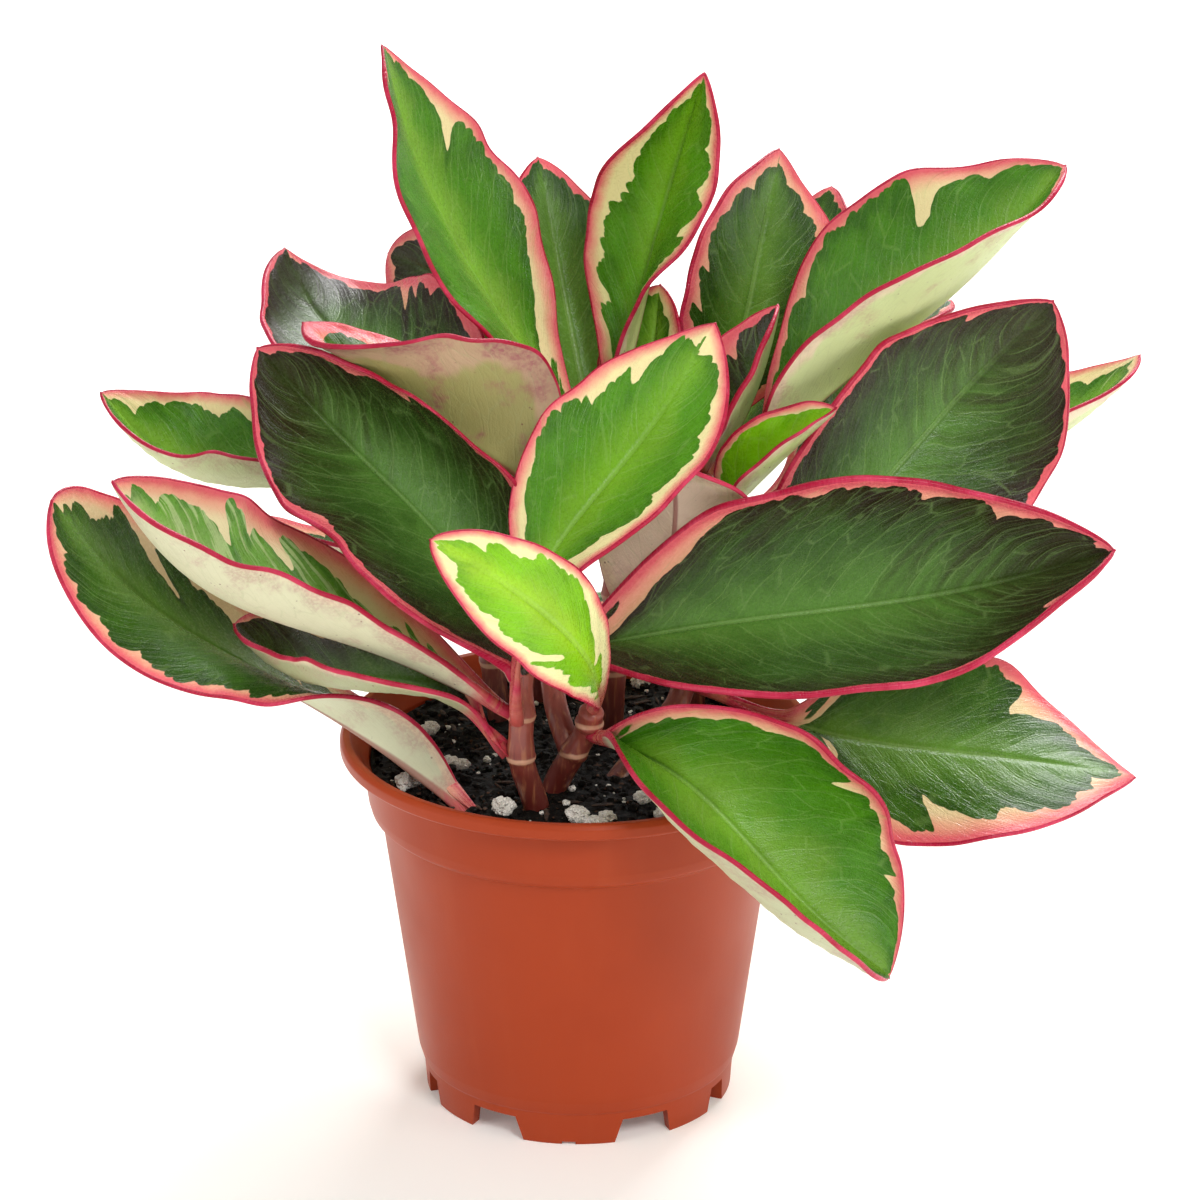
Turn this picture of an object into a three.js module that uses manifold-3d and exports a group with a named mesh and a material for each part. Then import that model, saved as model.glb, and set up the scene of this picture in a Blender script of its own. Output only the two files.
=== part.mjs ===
// A peperomia with cream and pink edged leaves, growing in a plastic nursery pot.
// Millimetres, +Z up. The origin is on the pot's axis, at the level the feet stand on,
// and the front of the plant faces -Y.
import * as THREE from 'three';
import { mergeVertices } from 'three/addons/utils/BufferGeometryUtils.js';
import Module from 'manifold-3d';

const wasm = await Module();
wasm.setup();

// Pot: a thermoformed 105 mm nursery pot on eight feet
const RIM_RADIUS = 52.5;
const POT_HEIGHT = 84.6;
const RIM_MOUTH_RADIUS = 50.3;
const RIM_LIP_BOTTOM = 81.0;
const BAND_TOP_RADIUS = 47.7;
const BAND_BOTTOM_RADIUS = 46.4;
const BAND_BOTTOM = 67.0;
const BODY_TOP_RADIUS = 43.6;
const BODY_BOTTOM_RADIUS = 36.0;
const BODY_BOTTOM = 10.8;
const FOOT_RADIUS = 34.2;
const FOOT_HEIGHT = 5.7;
const FLOOR_UNDERSIDE = 7.5;
const FLOOR_TOP = 9.3;
const WALL = 1.5;
const RIM_ROUND = 0.8;
const RIM_BEVEL = 1.4;
const RIM_THROAT = 1.2;
const LIP_TUCK = 0.2;
const LIP_DROP = 1.6;
const BAND_STEP = 3;
const BAND_ROUND = 0.8;
const BAND_LEDGE = 1;
const FOOT_WALL = 2.4;
const FOOT_WALL_BOTTOM = 3;
const FOOT_SHOULDER = 0.6;
const FOOT_SHOULDER_HEIGHT = 0.5;
const FOOT_GAP_DEPTH = 12;
const FOOT_GAP_INSET = 8;
const FOOT_GAP_BELOW = 1;
const MOULD_NOTCH = [3, 12, 1.4];
const POT_SIDES = 48;
const FEET_TURN = -3.5;
const FEET = [
  { at: 0, halfBottom: 16.7, halfTop: 20 },
  { at: 50, halfBottom: 10.3, halfTop: 12.2 },
  { at: 90, halfBottom: 16.7, halfTop: 19 },
  { at: 130, halfBottom: 10.3, halfTop: 12.2 },
  { at: 180, halfBottom: 16.7, halfTop: 20 },
  { at: 230, halfBottom: 10.3, halfTop: 12.2 },
  { at: 270, halfBottom: 16.7, halfTop: 19 },
  { at: 310, halfBottom: 10.3, halfTop: 12.2 },
];
const DRAIN_HOLE_RADIUS = 4;
const DRAIN_CIRCLE = 22;
const DRAIN_HOLES = 6;
const DRAIN_CUT_HEIGHT = 10;
const DRAIN_SIDES = 12;

// Soil
const SOIL_LEVEL = 79;
const SOIL_CROWN = 0.8;
const SOIL_CROWN_SHARE = 0.7;
const SOIL_EDGE_DROP = 0.4;
const SOIL_OUTER_RING = 34;
const SOIL_INNER_RING = 17;
const SOIL_WALL_GAP = 0.4;
const SOIL_STEP = 0.2;
const CLEARANCE = 0.3;

// Leaves and stems
const BLADE = 1.2;
const EDGE = 0.9;
const PETIOLE = 1.7;
const TIP_HALF_WIDTH = 0.5;
const NECK_REACH = 0.2;
const CLASP_REACH = 0.45;
const PINCH_START = 0.6;
const BASE_TAPER = 1.25;
const SMALL_LEAF_WIDTH = 30;
const NODE_SWELL = 0.5;
const NODE_REACH = 3;
const STEM_TAPER = 0.15;
const STEM_SIDES = 8;
const STEM_RINGS_PER_SPAN = 3;
const TOP_BASE_GAP = 0.5;
const HEIGHT_SEARCH_STEPS = 30;
const NO_CUP = 1e-4;
const MERGE_DISTANCE = 1e-4;
const LEAF_GRID = { columns: 6, rows: 9 };
const SMALL_LEAF_GRID = { columns: 4, rows: 7 };

const DEG = Math.PI / 180;
const UP = new THREE.Vector3(0, 0, 1);

// Each stem runs through its points from inside the soil to its tip.
const STEMS = {
  front_left: {
    radius: 3.2,
    points: [[-9, -29, 68], [-9, -29, 79], [-12, -30, 90], [-12, -30, 100], [-12, -28, 110]],
  },
  front: {
    radius: 3.2,
    points: [[-6, -19, 68], [-5, -19, 79], [-1, -21, 88], [2, -22, 94], [3, -24, 99]],
  },
  centre: {
    radius: 2.9,
    points: [[-1, -20, 86], [-5, -15, 98], [-6, -8, 112], [-4, -2, 136]],
  },
  right: {
    radius: 3,
    points: [[4, -18, 74], [12, -9, 81], [21, -2, 90], [25, 1, 105], [26, 4, 125], [27, 8, 141]],
  },
  centre_back: {
    radius: 3,
    points: [[7, 13, 68], [8, 14, 100], [8, 14, 125], [7, 12, 147]],
  },
  left_back: {
    radius: 3,
    points: [[-16, 17, 68], [-20, 23, 100], [-20, 27, 120], [-18, 29, 131]],
  },
  right_back: {
    radius: 3,
    points: [[24, 24, 68], [28, 28, 100], [29, 30, 122], [28, 34, 140]],
  },
  back: {
    radius: 3,
    points: [[-8, 32, 68], [-8, 34, 100], [-7, 34, 122], [-6, 32, 140]],
  },
};

// A leaf's row gives the stem and height it grows from, its tip, its full width, how its
// midrib leaves the straight line (bow up, sway sideways, nod as an S), how its blade is
// rolled and twisted, and how its halves fold up: fold along the midrib, cup towards each
// margin (left, right seen from base to tip), clasp at the base and pinch at the tip.
// widest is the place of the greatest width, a low blunt gives a round tip, and stalk is
// the part of the length that stays a bare petiole.
const LEAVES = [
  { name: 'leaf_top_left_tall', stem: 'centre_back', at: 144, tip: [-42, 26, 233],
    width: 52, bow: -5, sway: -2, nod: 1, roll: -11, twist: 6,
    fold: 11, cup: [-25, 51], clasp: 1, pinch: 0, widest: 0.57, blunt: 0.83 },
  { name: 'leaf_top_dark_behind', stem: 'centre_back', at: 130, tip: [-9, 52, 200],
    width: 37, bow: -1, sway: 0, nod: 0, roll: -1, twist: -13,
    fold: 4, cup: [3, 10], clasp: 10, pinch: 0, widest: 0.57, blunt: 0.81 },
  { name: 'leaf_top_centre_upright', stem: 'centre_back', at: 147, tip: [27, 12, 231],
    width: 34, bow: -10, sway: -12, nod: 0, roll: -38, twist: -96,
    fold: 31, cup: [36, -5], clasp: 10, pinch: 12, widest: 0.59, blunt: 0.77 },
  { name: 'leaf_top_small_behind', stem: 'centre_back', at: 137, tip: [18, 26, 179],
    width: 25, bow: -2, sway: 0, nod: 0, roll: 1, twist: 2,
    fold: 10, cup: [20, 18], clasp: 10, pinch: 1, widest: 0.58, blunt: 0.72 },
  { name: 'leaf_top_right_dark', stem: 'right_back', at: 140, tip: [44, 42, 205],
    width: 43, bow: 6, sway: -2, nod: 1, roll: -96, twist: -21,
    fold: 5, cup: [13, 24], clasp: 9, pinch: -2, widest: 0.58, blunt: 0.91 },
  { name: 'leaf_upper_right_folded', stem: 'right', at: 137, tip: [105, 20, 208],
    width: 60, bow: 0, sway: 4, nod: 2, roll: 3, twist: -50,
    fold: 38, cup: [28, 10], clasp: -54, pinch: -7, widest: 0.58, blunt: 0.74 },
  { name: 'leaf_back_top_right', stem: 'right_back', at: 131, tip: [57, 72, 187],
    width: 34, bow: 0, sway: 1, nod: 0, roll: 16, twist: 1,
    fold: 6, cup: [5, 5], clasp: 10, pinch: -1, widest: 0.58, blunt: 0.72 },
  { name: 'leaf_back_right', stem: 'right_back', at: 122, tip: [83, 48, 168],
    width: 37, bow: 1, sway: 6, nod: -5, roll: 14, twist: -29,
    fold: 13, cup: [15, 16], clasp: 10, pinch: -13, widest: 0.59, blunt: 0.67 },
  { name: 'leaf_right_dark_broad', stem: 'right', at: 116, tip: [102, 6, 182],
    width: 58, bow: 1, sway: 5, nod: 6, roll: -91, twist: -5,
    fold: 9, cup: [32, -1], clasp: 10, pinch: 8, widest: 0.58, blunt: 0.77 },
  { name: 'leaf_right_young', stem: 'right', at: 131, tip: [55, -12, 164],
    width: 24, bow: 3, sway: 2, nod: 0, roll: -57, twist: 21,
    fold: 47, cup: [35, 35], clasp: 10, pinch: -4, widest: 0.55, blunt: 0.75, stalk: 0.15 },
  { name: 'leaf_centre_dark_narrow', stem: 'right', at: 141, tip: [43, 6, 181],
    width: 27, bow: -1, sway: 5, nod: 0, roll: -22, twist: -15,
    fold: 32, cup: [27, 7], clasp: 14, pinch: -5, widest: 0.58, blunt: 0.76 },
  { name: 'leaf_far_right', stem: 'right_back', at: 110, tip: [124, 34, 160],
    width: 47, bow: -5, sway: 4, nod: 3, roll: 3, twist: -5,
    fold: 22, cup: [37, 41], clasp: 10, pinch: -27, widest: 0.59, blunt: 0.72 },
  { name: 'leaf_right_broad', stem: 'centre', at: 107, tip: [114, -26, 137],
    width: 64, bow: 4, sway: 3, nod: 4, roll: -52, twist: -9,
    fold: 20, cup: [50, 37], clasp: 20, pinch: 27, widest: 0.50, blunt: 0.73 },
  { name: 'leaf_lower_right', stem: 'right', at: 96, tip: [121, -18, 81],
    width: 56, bow: 0, sway: 5, nod: -2, roll: -23, twist: 29,
    fold: 0, cup: [21, -5], clasp: 70, pinch: -5, widest: 0.58, blunt: 1.00, stalk: 0.20 },
  { name: 'leaf_front_right_drooping', stem: 'front', at: 95, tip: [66, -60, 53],
    width: 61, bow: 13, sway: 4, nod: 4, roll: -25, twist: 39,
    fold: 15, cup: [73, 74], clasp: 88, pinch: 12, widest: 0.56, blunt: 0.70 },
  { name: 'leaf_centre_light', stem: 'front_left', at: 102, tip: [29, -18, 185],
    width: 43, bow: 9, sway: -1, nod: 5, roll: -21, twist: -42,
    fold: 6, cup: [15, 25], clasp: 10, pinch: -21, widest: 0.60, blunt: 0.96, stalk: 0.20 },
  { name: 'leaf_front_small', stem: 'front', at: 99, tip: [-30, -59, 152],
    width: 24, bow: 14, sway: 1, nod: 0, roll: 85, twist: 24,
    fold: 4, cup: [-11, 5], clasp: 29, pinch: -1, widest: 0.63, blunt: 0.71 },
  { name: 'leaf_left_glossy_broad', stem: 'front_left', at: 110, tip: [-69, 7, 171],
    width: 59, bow: -1, sway: 4, nod: 3, roll: 27, twist: 45,
    fold: 28, cup: [-2, 90], clasp: -7, pinch: 2, widest: 0.48, blunt: 0.77 },
  { name: 'leaf_left_folded', stem: 'front_left', at: 102, tip: [-97, -38, 157],
    width: 46, bow: -8, sway: 1, nod: 4, roll: 9, twist: 19,
    fold: 26, cup: [58, 19], clasp: 16, pinch: -2, widest: 0.65, blunt: 0.75 },
  { name: 'leaf_lower_left', root: [-21, -33, 76], tip: [-111, -28, 149],
    width: 43, bow: -5, sway: 21, nod: 3, roll: -16, twist: 87,
    fold: 13, cup: [-55, 25], clasp: 118, pinch: -13, widest: 0.58, blunt: 0.56 },
  { name: 'leaf_left_dark_narrow', stem: 'front_left', at: 93, tip: [-74, -16, 116],
    width: 40, bow: 1, sway: 1, nod: 5, roll: 14, twist: -20,
    fold: 8, cup: [72, -10], clasp: 116, pinch: 3, widest: 0.60, blunt: 0.60, stalk: 0.08 },
  { name: 'leaf_far_left', stem: 'left_back', at: 122, tip: [-105, 26, 154],
    width: 43, bow: -6, sway: -1, nod: 6, roll: 13, twist: 14,
    fold: 20, cup: [62, 22], clasp: 10, pinch: -10, widest: 0.64, blunt: 0.82 },
  { name: 'leaf_upper_left_dark', stem: 'left_back', at: 131, tip: [-66, 61, 176],
    width: 47, bow: 10, sway: -7, nod: 8, roll: 24, twist: -63,
    fold: 7, cup: [39, 29], clasp: 10, pinch: -19, widest: 0.55, blunt: 0.75 },
  { name: 'leaf_upper_left_turned', stem: 'centre', at: 136, tip: [-59, 6, 177],
    width: 52, bow: -1, sway: -5, nod: 1, roll: -26, twist: 90,
    fold: 40, cup: [22, -52], clasp: 16, pinch: -34, widest: 0.38, blunt: 0.89 },
  { name: 'leaf_back_top_left', stem: 'back', at: 138, tip: [-43, 70, 172],
    width: 33, bow: 3, sway: 9, nod: -1, roll: 64, twist: 3,
    fold: 11, cup: [10, 10], clasp: 10, pinch: 0, widest: 0.58, blunt: 0.70 },
  { name: 'leaf_centre_underside', stem: 'right', at: 104, tip: [19, -24, 157],
    width: 39, bow: -4, sway: 0, nod: -6, roll: 7, twist: 12,
    fold: 11, cup: [0, 10], clasp: 10, pinch: -19, widest: 0.59, blunt: 0.71 },
  { name: 'leaf_rear_left_low', stem: 'back', at: 96, tip: [-64, 80, 90],
    width: 50, bow: 6, sway: 0, nod: 2, roll: 5, twist: 5,
    fold: 12, cup: [20, 20], clasp: 20, pinch: 0, widest: 0.58, blunt: 0.72 },
  { name: 'leaf_rear_low', stem: 'back', at: 92, tip: [4, 83, 76],
    width: 44, bow: 9, sway: 3, nod: 1, roll: -5, twist: 0,
    fold: 10, cup: [20, 20], clasp: 20, pinch: 0, widest: 0.58, blunt: 0.70 },
  { name: 'leaf_rear_right_low', stem: 'right_back', at: 98, tip: [66, 80, 96],
    width: 50, bow: 10, sway: 0, nod: 2, roll: 4, twist: 0,
    fold: 10, cup: [22, 22], clasp: 20, pinch: 0, widest: 0.58, blunt: 0.72 },
  { name: 'leaf_rear_left_middle', stem: 'back', at: 122, tip: [-50, 79, 160],
    width: 46, bow: 5, sway: 0, nod: 0, roll: -10, twist: 0,
    fold: 16, cup: [20, 20], clasp: 15, pinch: 0, widest: 0.58, blunt: 0.75 },
  { name: 'leaf_rear_middle', stem: 'centre_back', at: 112, tip: [14, 81, 146],
    width: 36, bow: 6, sway: 0, nod: 0, roll: 10, twist: 0,
    fold: 16, cup: [20, 20], clasp: 15, pinch: 0, widest: 0.58, blunt: 0.75 },
  { name: 'leaf_left_low_behind', stem: 'left_back', at: 108, tip: [-121, 60, 106],
    width: 38, bow: 4, sway: 0, nod: 0, roll: -20, twist: 0,
    fold: 10, cup: [20, 20], clasp: 20, pinch: 0, widest: 0.60, blunt: 0.75 },
];

// Perlite grains, half sunk in the soil's surface: place and radius.
const GRAIN_FLATNESS = 0.8;
const GRAIN_RISE = 0.4;
const PERLITE = [
  [-37, -18, 2.4], [-16, -31.5, 2.3], [0, -36, 2.3], [4, -41, 2.2], [6.5, -37, 1.9], [-28, -8, 2],
  [-25.5, -8.5, 1.8], [-30, -24, 1.5], [18, -34, 1.6], [14, -26, 1.7], [-33, 12, 2], [0, 2, 1.8],
  [36, -6, 2], [14, 40, 2.1], [-26, 30, 2.2], [38, 14, 1.8],
];

// Bends the leaf's midrib and returns the frame at t, which runs from 0 at the base to 1 at the tip.
function leafFrame(leaf, base, t) {
  const tip = new THREE.Vector3(...leaf.tip);
  const chord = tip.clone().sub(base);
  const along = chord.clone().normalize();
  const level = along.clone().cross(UP).normalize();
  const raised = level.clone().cross(along);
  const roll = leaf.roll * DEG;
  const side = level.clone().multiplyScalar(Math.cos(roll)).addScaledVector(raised, Math.sin(roll));
  const face = side.clone().cross(along);
  const arch = 4 * t * (1 - t);
  const archSlope = 4 * (1 - 2 * t);
  const wave = Math.sin(2 * Math.PI * t);
  const waveSlope = 2 * Math.PI * Math.cos(2 * Math.PI * t);
  const point = base.clone().addScaledVector(chord, t)
    .addScaledVector(face, leaf.bow * arch + leaf.nod * wave)
    .addScaledVector(side, leaf.sway * arch);
  const tangent = chord.clone()
    .addScaledVector(face, leaf.bow * archSlope + leaf.nod * waveSlope)
    .addScaledVector(side, leaf.sway * archSlope)
    .normalize();
  const turn = leaf.twist * DEG * (t - 0.5);
  const across = side.clone().multiplyScalar(Math.cos(turn)).addScaledVector(face, Math.sin(turn));
  across.addScaledVector(tangent, -across.dot(tangent)).normalize();
  return { point, tangent, across, normal: across.clone().cross(tangent) };
}

// The width grows as a sine from the base to the widest place and closes as a blunt arch.
function leafHalfWidth(leaf, t) {
  const stalk = leaf.stalk || 0;
  const rise = Math.min(Math.max((t - stalk) / (leaf.widest - stalk), 0), 1);
  const fall = Math.max((t - leaf.widest) / (1 - leaf.widest), 0);
  const spread = t < leaf.widest
    ? Math.sin(Math.PI / 2 * rise) ** BASE_TAPER
    : (1 - fall * fall) ** leaf.blunt;
  const narrow = TIP_HALF_WIDTH + (PETIOLE - TIP_HALF_WIDTH) * Math.sqrt(1 - fall);
  return narrow + (leaf.width / 2 - PETIOLE) * spread;
}

// A point of the leaf, s from -1 to 1 across it, lifted off the middle surface along its normal.
// extra widens the leaf all round, to cut the hole that it stands in.
function leafPoint(leaf, base, s, t, lift, extra) {
  const frame = leafFrame(leaf, base, t);
  const half = leafHalfWidth(leaf, t) + extra;
  const fold = DEG * (leaf.fold
    + leaf.clasp * Math.max(0, 1 - t / CLASP_REACH) ** 2
    + leaf.pinch * Math.max(0, (t - PINCH_START) / (1 - PINCH_START)) ** 2);
  const cup = DEG * leaf.cup[s < 0 ? 0 : 1] * half / (leaf.width / 2) || NO_CUP;
  const reach = Math.abs(s);
  const slope = fold + cup * reach;
  const out = Math.sign(s) * half * (Math.sin(slope) - Math.sin(fold)) / cup;
  const height = half * (Math.cos(fold) - Math.cos(slope)) / cup;
  const lean = s === 0 ? 0 : Math.sign(s) * Math.sin(slope);
  const rest = Math.sqrt(1 - lean * lean);
  return frame.point
    .addScaledVector(frame.across, out - lift * lean)
    .addScaledVector(frame.normal, height + lift * rest)
    .addScaledVector(frame.tangent, t === 0 ? -extra : 0);
}

function stemCurve(stem) {
  return new THREE.CatmullRomCurve3(stem.points.map((p) => new THREE.Vector3(...p)));
}

// A stem tapers towards its tip and swells into a ring wherever a leaf grows.
function stemRadius(stem, t, height) {
  const grown = LEAVES.filter((leaf) => STEMS[leaf.stem] === stem);
  const nearest = Math.min(...grown.map((leaf) => Math.abs(leaf.at - height)));
  const shrink = NODE_SWELL * Math.min(1, nearest / NODE_REACH);
  return stem.radius * (1 - STEM_TAPER * t) - shrink;
}

// The stem's axis at a height, with its direction and radius there.
function stemAxis(stem, height) {
  const curve = stemCurve(stem);
  let low = 0;
  let high = 1;
  for (let step = 0; step < HEIGHT_SEARCH_STEPS; step += 1) {
    const middle = (low + high) / 2;
    if (curve.getPoint(middle).z < height) {
      low = middle;
    } else {
      high = middle;
    }
  }
  return {
    point: curve.getPoint(low),
    tangent: curve.getTangent(low),
    radius: stemRadius(stem, low, height),
  };
}

// Where the petiole starts: beside the stem, or over its tip, with a clearance between them.
function leafBase(leaf) {
  if (leaf.root) {
    return new THREE.Vector3(...leaf.root);
  }
  const stem = STEMS[leaf.stem];
  const axis = stemAxis(stem, leaf.at);
  const start = leafFrame(leaf, axis.point, 0).tangent;
  const top = stem.points[stem.points.length - 1][2];
  if (leaf.at >= top) {
    const lean = Math.sqrt(1 - start.dot(axis.tangent) ** 2);
    return axis.point.addScaledVector(axis.tangent, TOP_BASE_GAP + PETIOLE * lean);
  }
  const sideways = start.clone().addScaledVector(axis.tangent, -start.dot(axis.tangent)).normalize();
  const tilt = Math.sqrt(1 - start.dot(sideways) ** 2);
  return axis.point.addScaledVector(sideways, axis.radius + CLEARANCE + PETIOLE * tilt);
}

// Two like grids of triangles, the upper and the under face, joined by a band round the margin.
function leafGeometry(leaf, extra = 0) {
  const { columns, rows } = leaf.width < SMALL_LEAF_WIDTH ? SMALL_LEAF_GRID : LEAF_GRID;
  const base = leafBase(leaf);
  const stride = columns + 1;
  const layer = stride * (rows + 1);
  const positions = [];
  for (const face of [1, -1]) {
    for (let j = 0; j <= rows; j += 1) {
      const t = j / rows;
      const neck = Math.max(0, 1 - t / NECK_REACH) ** 2;
      for (let i = 0; i <= columns; i += 1) {
        const s = 2 * i / columns - 1;
        const blade = BLADE + (EDGE - BLADE) * s * s;
        const thick = blade + (2 * PETIOLE - blade) * neck + 2 * extra;
        positions.push(...leafPoint(leaf, base, s, t, face * thick / 2, extra).toArray());
      }
    }
  }
  const index = [];
  const quad = (a, b, c, d) => index.push(a, b, c, a, c, d);
  for (let j = 0; j < rows; j += 1) {
    for (let i = 0; i < columns; i += 1) {
      const a = j * stride + i;
      index.push(a, a + 1, a + 1 + stride, a, a + 1 + stride, a + stride);
      index.push(layer + a, layer + a + 1 + stride, layer + a + 1);
      index.push(layer + a, layer + a + stride, layer + a + 1 + stride);
    }
    const left = j * stride;
    const right = left + columns;
    quad(left, left + stride, left + stride + layer, left + layer);
    quad(right, right + layer, right + stride + layer, right + stride);
  }
  for (let i = 0; i < columns; i += 1) {
    const end = rows * stride + i;
    quad(i, i + layer, i + 1 + layer, i + 1);
    quad(end, end + 1, end + 1 + layer, end + layer);
  }
  const geometry = new THREE.BufferGeometry();
  geometry.setAttribute('position', new THREE.Float32BufferAttribute(positions, 3));
  geometry.setIndex(index);
  return geometry;
}

// A cylinder bent along the stem, with a slight taper and a swelling at each node.
function stemGeometry(stem, extra = 0) {
  const curve = stemCurve(stem);
  const rings = STEM_RINGS_PER_SPAN * (stem.points.length - 1);
  const geometry = new THREE.CylinderGeometry(1, 1, 1, STEM_SIDES, rings);
  geometry.deleteAttribute('normal');
  geometry.deleteAttribute('uv');
  const position = geometry.getAttribute('position');
  const place = new THREE.Vector3();
  for (let i = 0; i < position.count; i += 1) {
    place.fromBufferAttribute(position, i);
    const t = place.y + 0.5;
    const centre = curve.getPoint(t);
    const tangent = curve.getTangent(t);
    const forward = new THREE.Vector3(0, 1, 0);
    const across = forward.clone().cross(tangent).normalize();
    const ahead = tangent.clone().cross(across);
    const radius = stemRadius(stem, t, centre.z) + extra;
    const point = centre.addScaledVector(across, radius * place.z).addScaledVector(ahead, radius * place.x);
    point.addScaledVector(tangent, t === 0 ? -extra : 0);
    position.setXYZ(i, point.x, point.y, point.z);
  }
  return mergeVertices(geometry, MERGE_DISTANCE);
}

function toSolid(geometry) {
  const bare = geometry.clone();
  bare.deleteAttribute('normal');
  bare.deleteAttribute('uv');
  const merged = mergeVertices(bare, MERGE_DISTANCE);
  return new wasm.Manifold(new wasm.Mesh({
    numProp: 3,
    vertProperties: new Float32Array(merged.getAttribute('position').array),
    triVerts: new Uint32Array(merged.getIndex().array),
  }));
}

function toGeometry(solid) {
  const mesh = solid.getMesh();
  const geometry = new THREE.BufferGeometry();
  geometry.setAttribute('position', new THREE.Float32BufferAttribute(mesh.vertProperties, 3));
  geometry.setIndex(Array.from(mesh.triVerts));
  return geometry;
}

// A lathe turns about Y, so it is laid over to stand along Z.
function turned(profile, sides) {
  const points = profile.map(([radius, height]) => new THREE.Vector2(radius, height));
  return new THREE.LatheGeometry(points, sides).rotateX(Math.PI / 2);
}

function innerRadius(z) {
  const up = (z - BODY_BOTTOM) / (BAND_BOTTOM - BODY_BOTTOM);
  return BODY_BOTTOM_RADIUS + (BODY_TOP_RADIUS - BODY_BOTTOM_RADIUS) * up - WALL;
}

function makePot() {
  const bandInner = BAND_BOTTOM_RADIUS - WALL;
  const profile = [
    [0, FLOOR_TOP],
    [innerRadius(FLOOR_TOP), FLOOR_TOP],
    [innerRadius(BAND_BOTTOM - BAND_LEDGE), BAND_BOTTOM - BAND_LEDGE],
    [bandInner, BAND_BOTTOM + BAND_STEP],
    [BAND_TOP_RADIUS - WALL, RIM_LIP_BOTTOM - LIP_DROP],
    [RIM_MOUTH_RADIUS - RIM_THROAT, POT_HEIGHT - RIM_BEVEL],
    [RIM_MOUTH_RADIUS, POT_HEIGHT],
    [RIM_RADIUS - RIM_ROUND, POT_HEIGHT],
    [RIM_RADIUS, POT_HEIGHT - RIM_ROUND],
    [RIM_RADIUS, RIM_LIP_BOTTOM + RIM_ROUND],
    [RIM_RADIUS - RIM_ROUND, RIM_LIP_BOTTOM],
    [BAND_TOP_RADIUS + RIM_ROUND, RIM_LIP_BOTTOM - LIP_TUCK],
    [BAND_TOP_RADIUS, RIM_LIP_BOTTOM - LIP_DROP],
    [BAND_BOTTOM_RADIUS, BAND_BOTTOM + BAND_STEP],
    [BAND_BOTTOM_RADIUS - BAND_ROUND, BAND_BOTTOM + BAND_ROUND],
    [BODY_TOP_RADIUS + BAND_ROUND, BAND_BOTTOM],
    [BODY_TOP_RADIUS, BAND_BOTTOM - BAND_ROUND],
    [BODY_BOTTOM_RADIUS, BODY_BOTTOM],
    [FOOT_RADIUS + FOOT_SHOULDER, FLOOR_UNDERSIDE + FOOT_SHOULDER_HEIGHT],
    [FOOT_RADIUS, 0],
    [FOOT_RADIUS - FOOT_WALL_BOTTOM, 0],
    [FOOT_RADIUS - FOOT_WALL, FLOOR_UNDERSIDE],
    [0, FLOOR_UNDERSIDE],
  ];
  let pot = toSolid(turned(profile.reverse(), POT_SIDES));
  for (let i = 0; i < FEET.length; i += 1) {
    pot = pot.subtract(footGap(FEET[i], FEET[(i + 1) % FEET.length]));
  }
  pot = pot.subtract(mouldNotch());
  for (let i = 0; i < DRAIN_HOLES; i += 1) {
    const angle = 2 * Math.PI * i / DRAIN_HOLES;
    const hole = new THREE.CylinderGeometry(
      DRAIN_HOLE_RADIUS, DRAIN_HOLE_RADIUS, DRAIN_CUT_HEIGHT, DRAIN_SIDES);
    hole.rotateX(Math.PI / 2);
    hole.translate(DRAIN_CIRCLE * Math.cos(angle), DRAIN_CIRCLE * Math.sin(angle), FLOOR_TOP);
    pot = pot.subtract(toSolid(hole));
  }
  return toGeometry(pot);
}

// A radial block whose cross-section leaves the two feet beside it wider at the top than below.
function footGap(left, right) {
  let span = right.at - left.at;
  if (span < 0) {
    span += 360;
  }
  const middle = left.at + span / 2 + FEET_TURN;
  const reach = (halfAngle) => FOOT_RADIUS * Math.tan((span / 2 - halfAngle) * DEG);
  const outline = new THREE.Shape();
  outline.moveTo(-reach(left.halfBottom), -FOOT_GAP_BELOW);
  outline.lineTo(reach(right.halfBottom), -FOOT_GAP_BELOW);
  outline.lineTo(reach(right.halfTop), FOOT_HEIGHT);
  outline.lineTo(-reach(left.halfTop), FOOT_HEIGHT);
  outline.closePath();
  const block = new THREE.ExtrudeGeometry(outline, { depth: FOOT_GAP_DEPTH, bevelEnabled: false });
  block.rotateX(Math.PI / 2).translate(0, -(FOOT_RADIUS - FOOT_GAP_INSET), 0).rotateZ(middle * DEG);
  return toSolid(block);
}

// The small mark that the mould leaves under the front foot.
function mouldNotch() {
  const notch = new THREE.BoxGeometry(...MOULD_NOTCH).translate(0, -FOOT_RADIUS, 0);
  return toSolid(notch.rotateZ(FEET_TURN * DEG));
}

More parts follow.
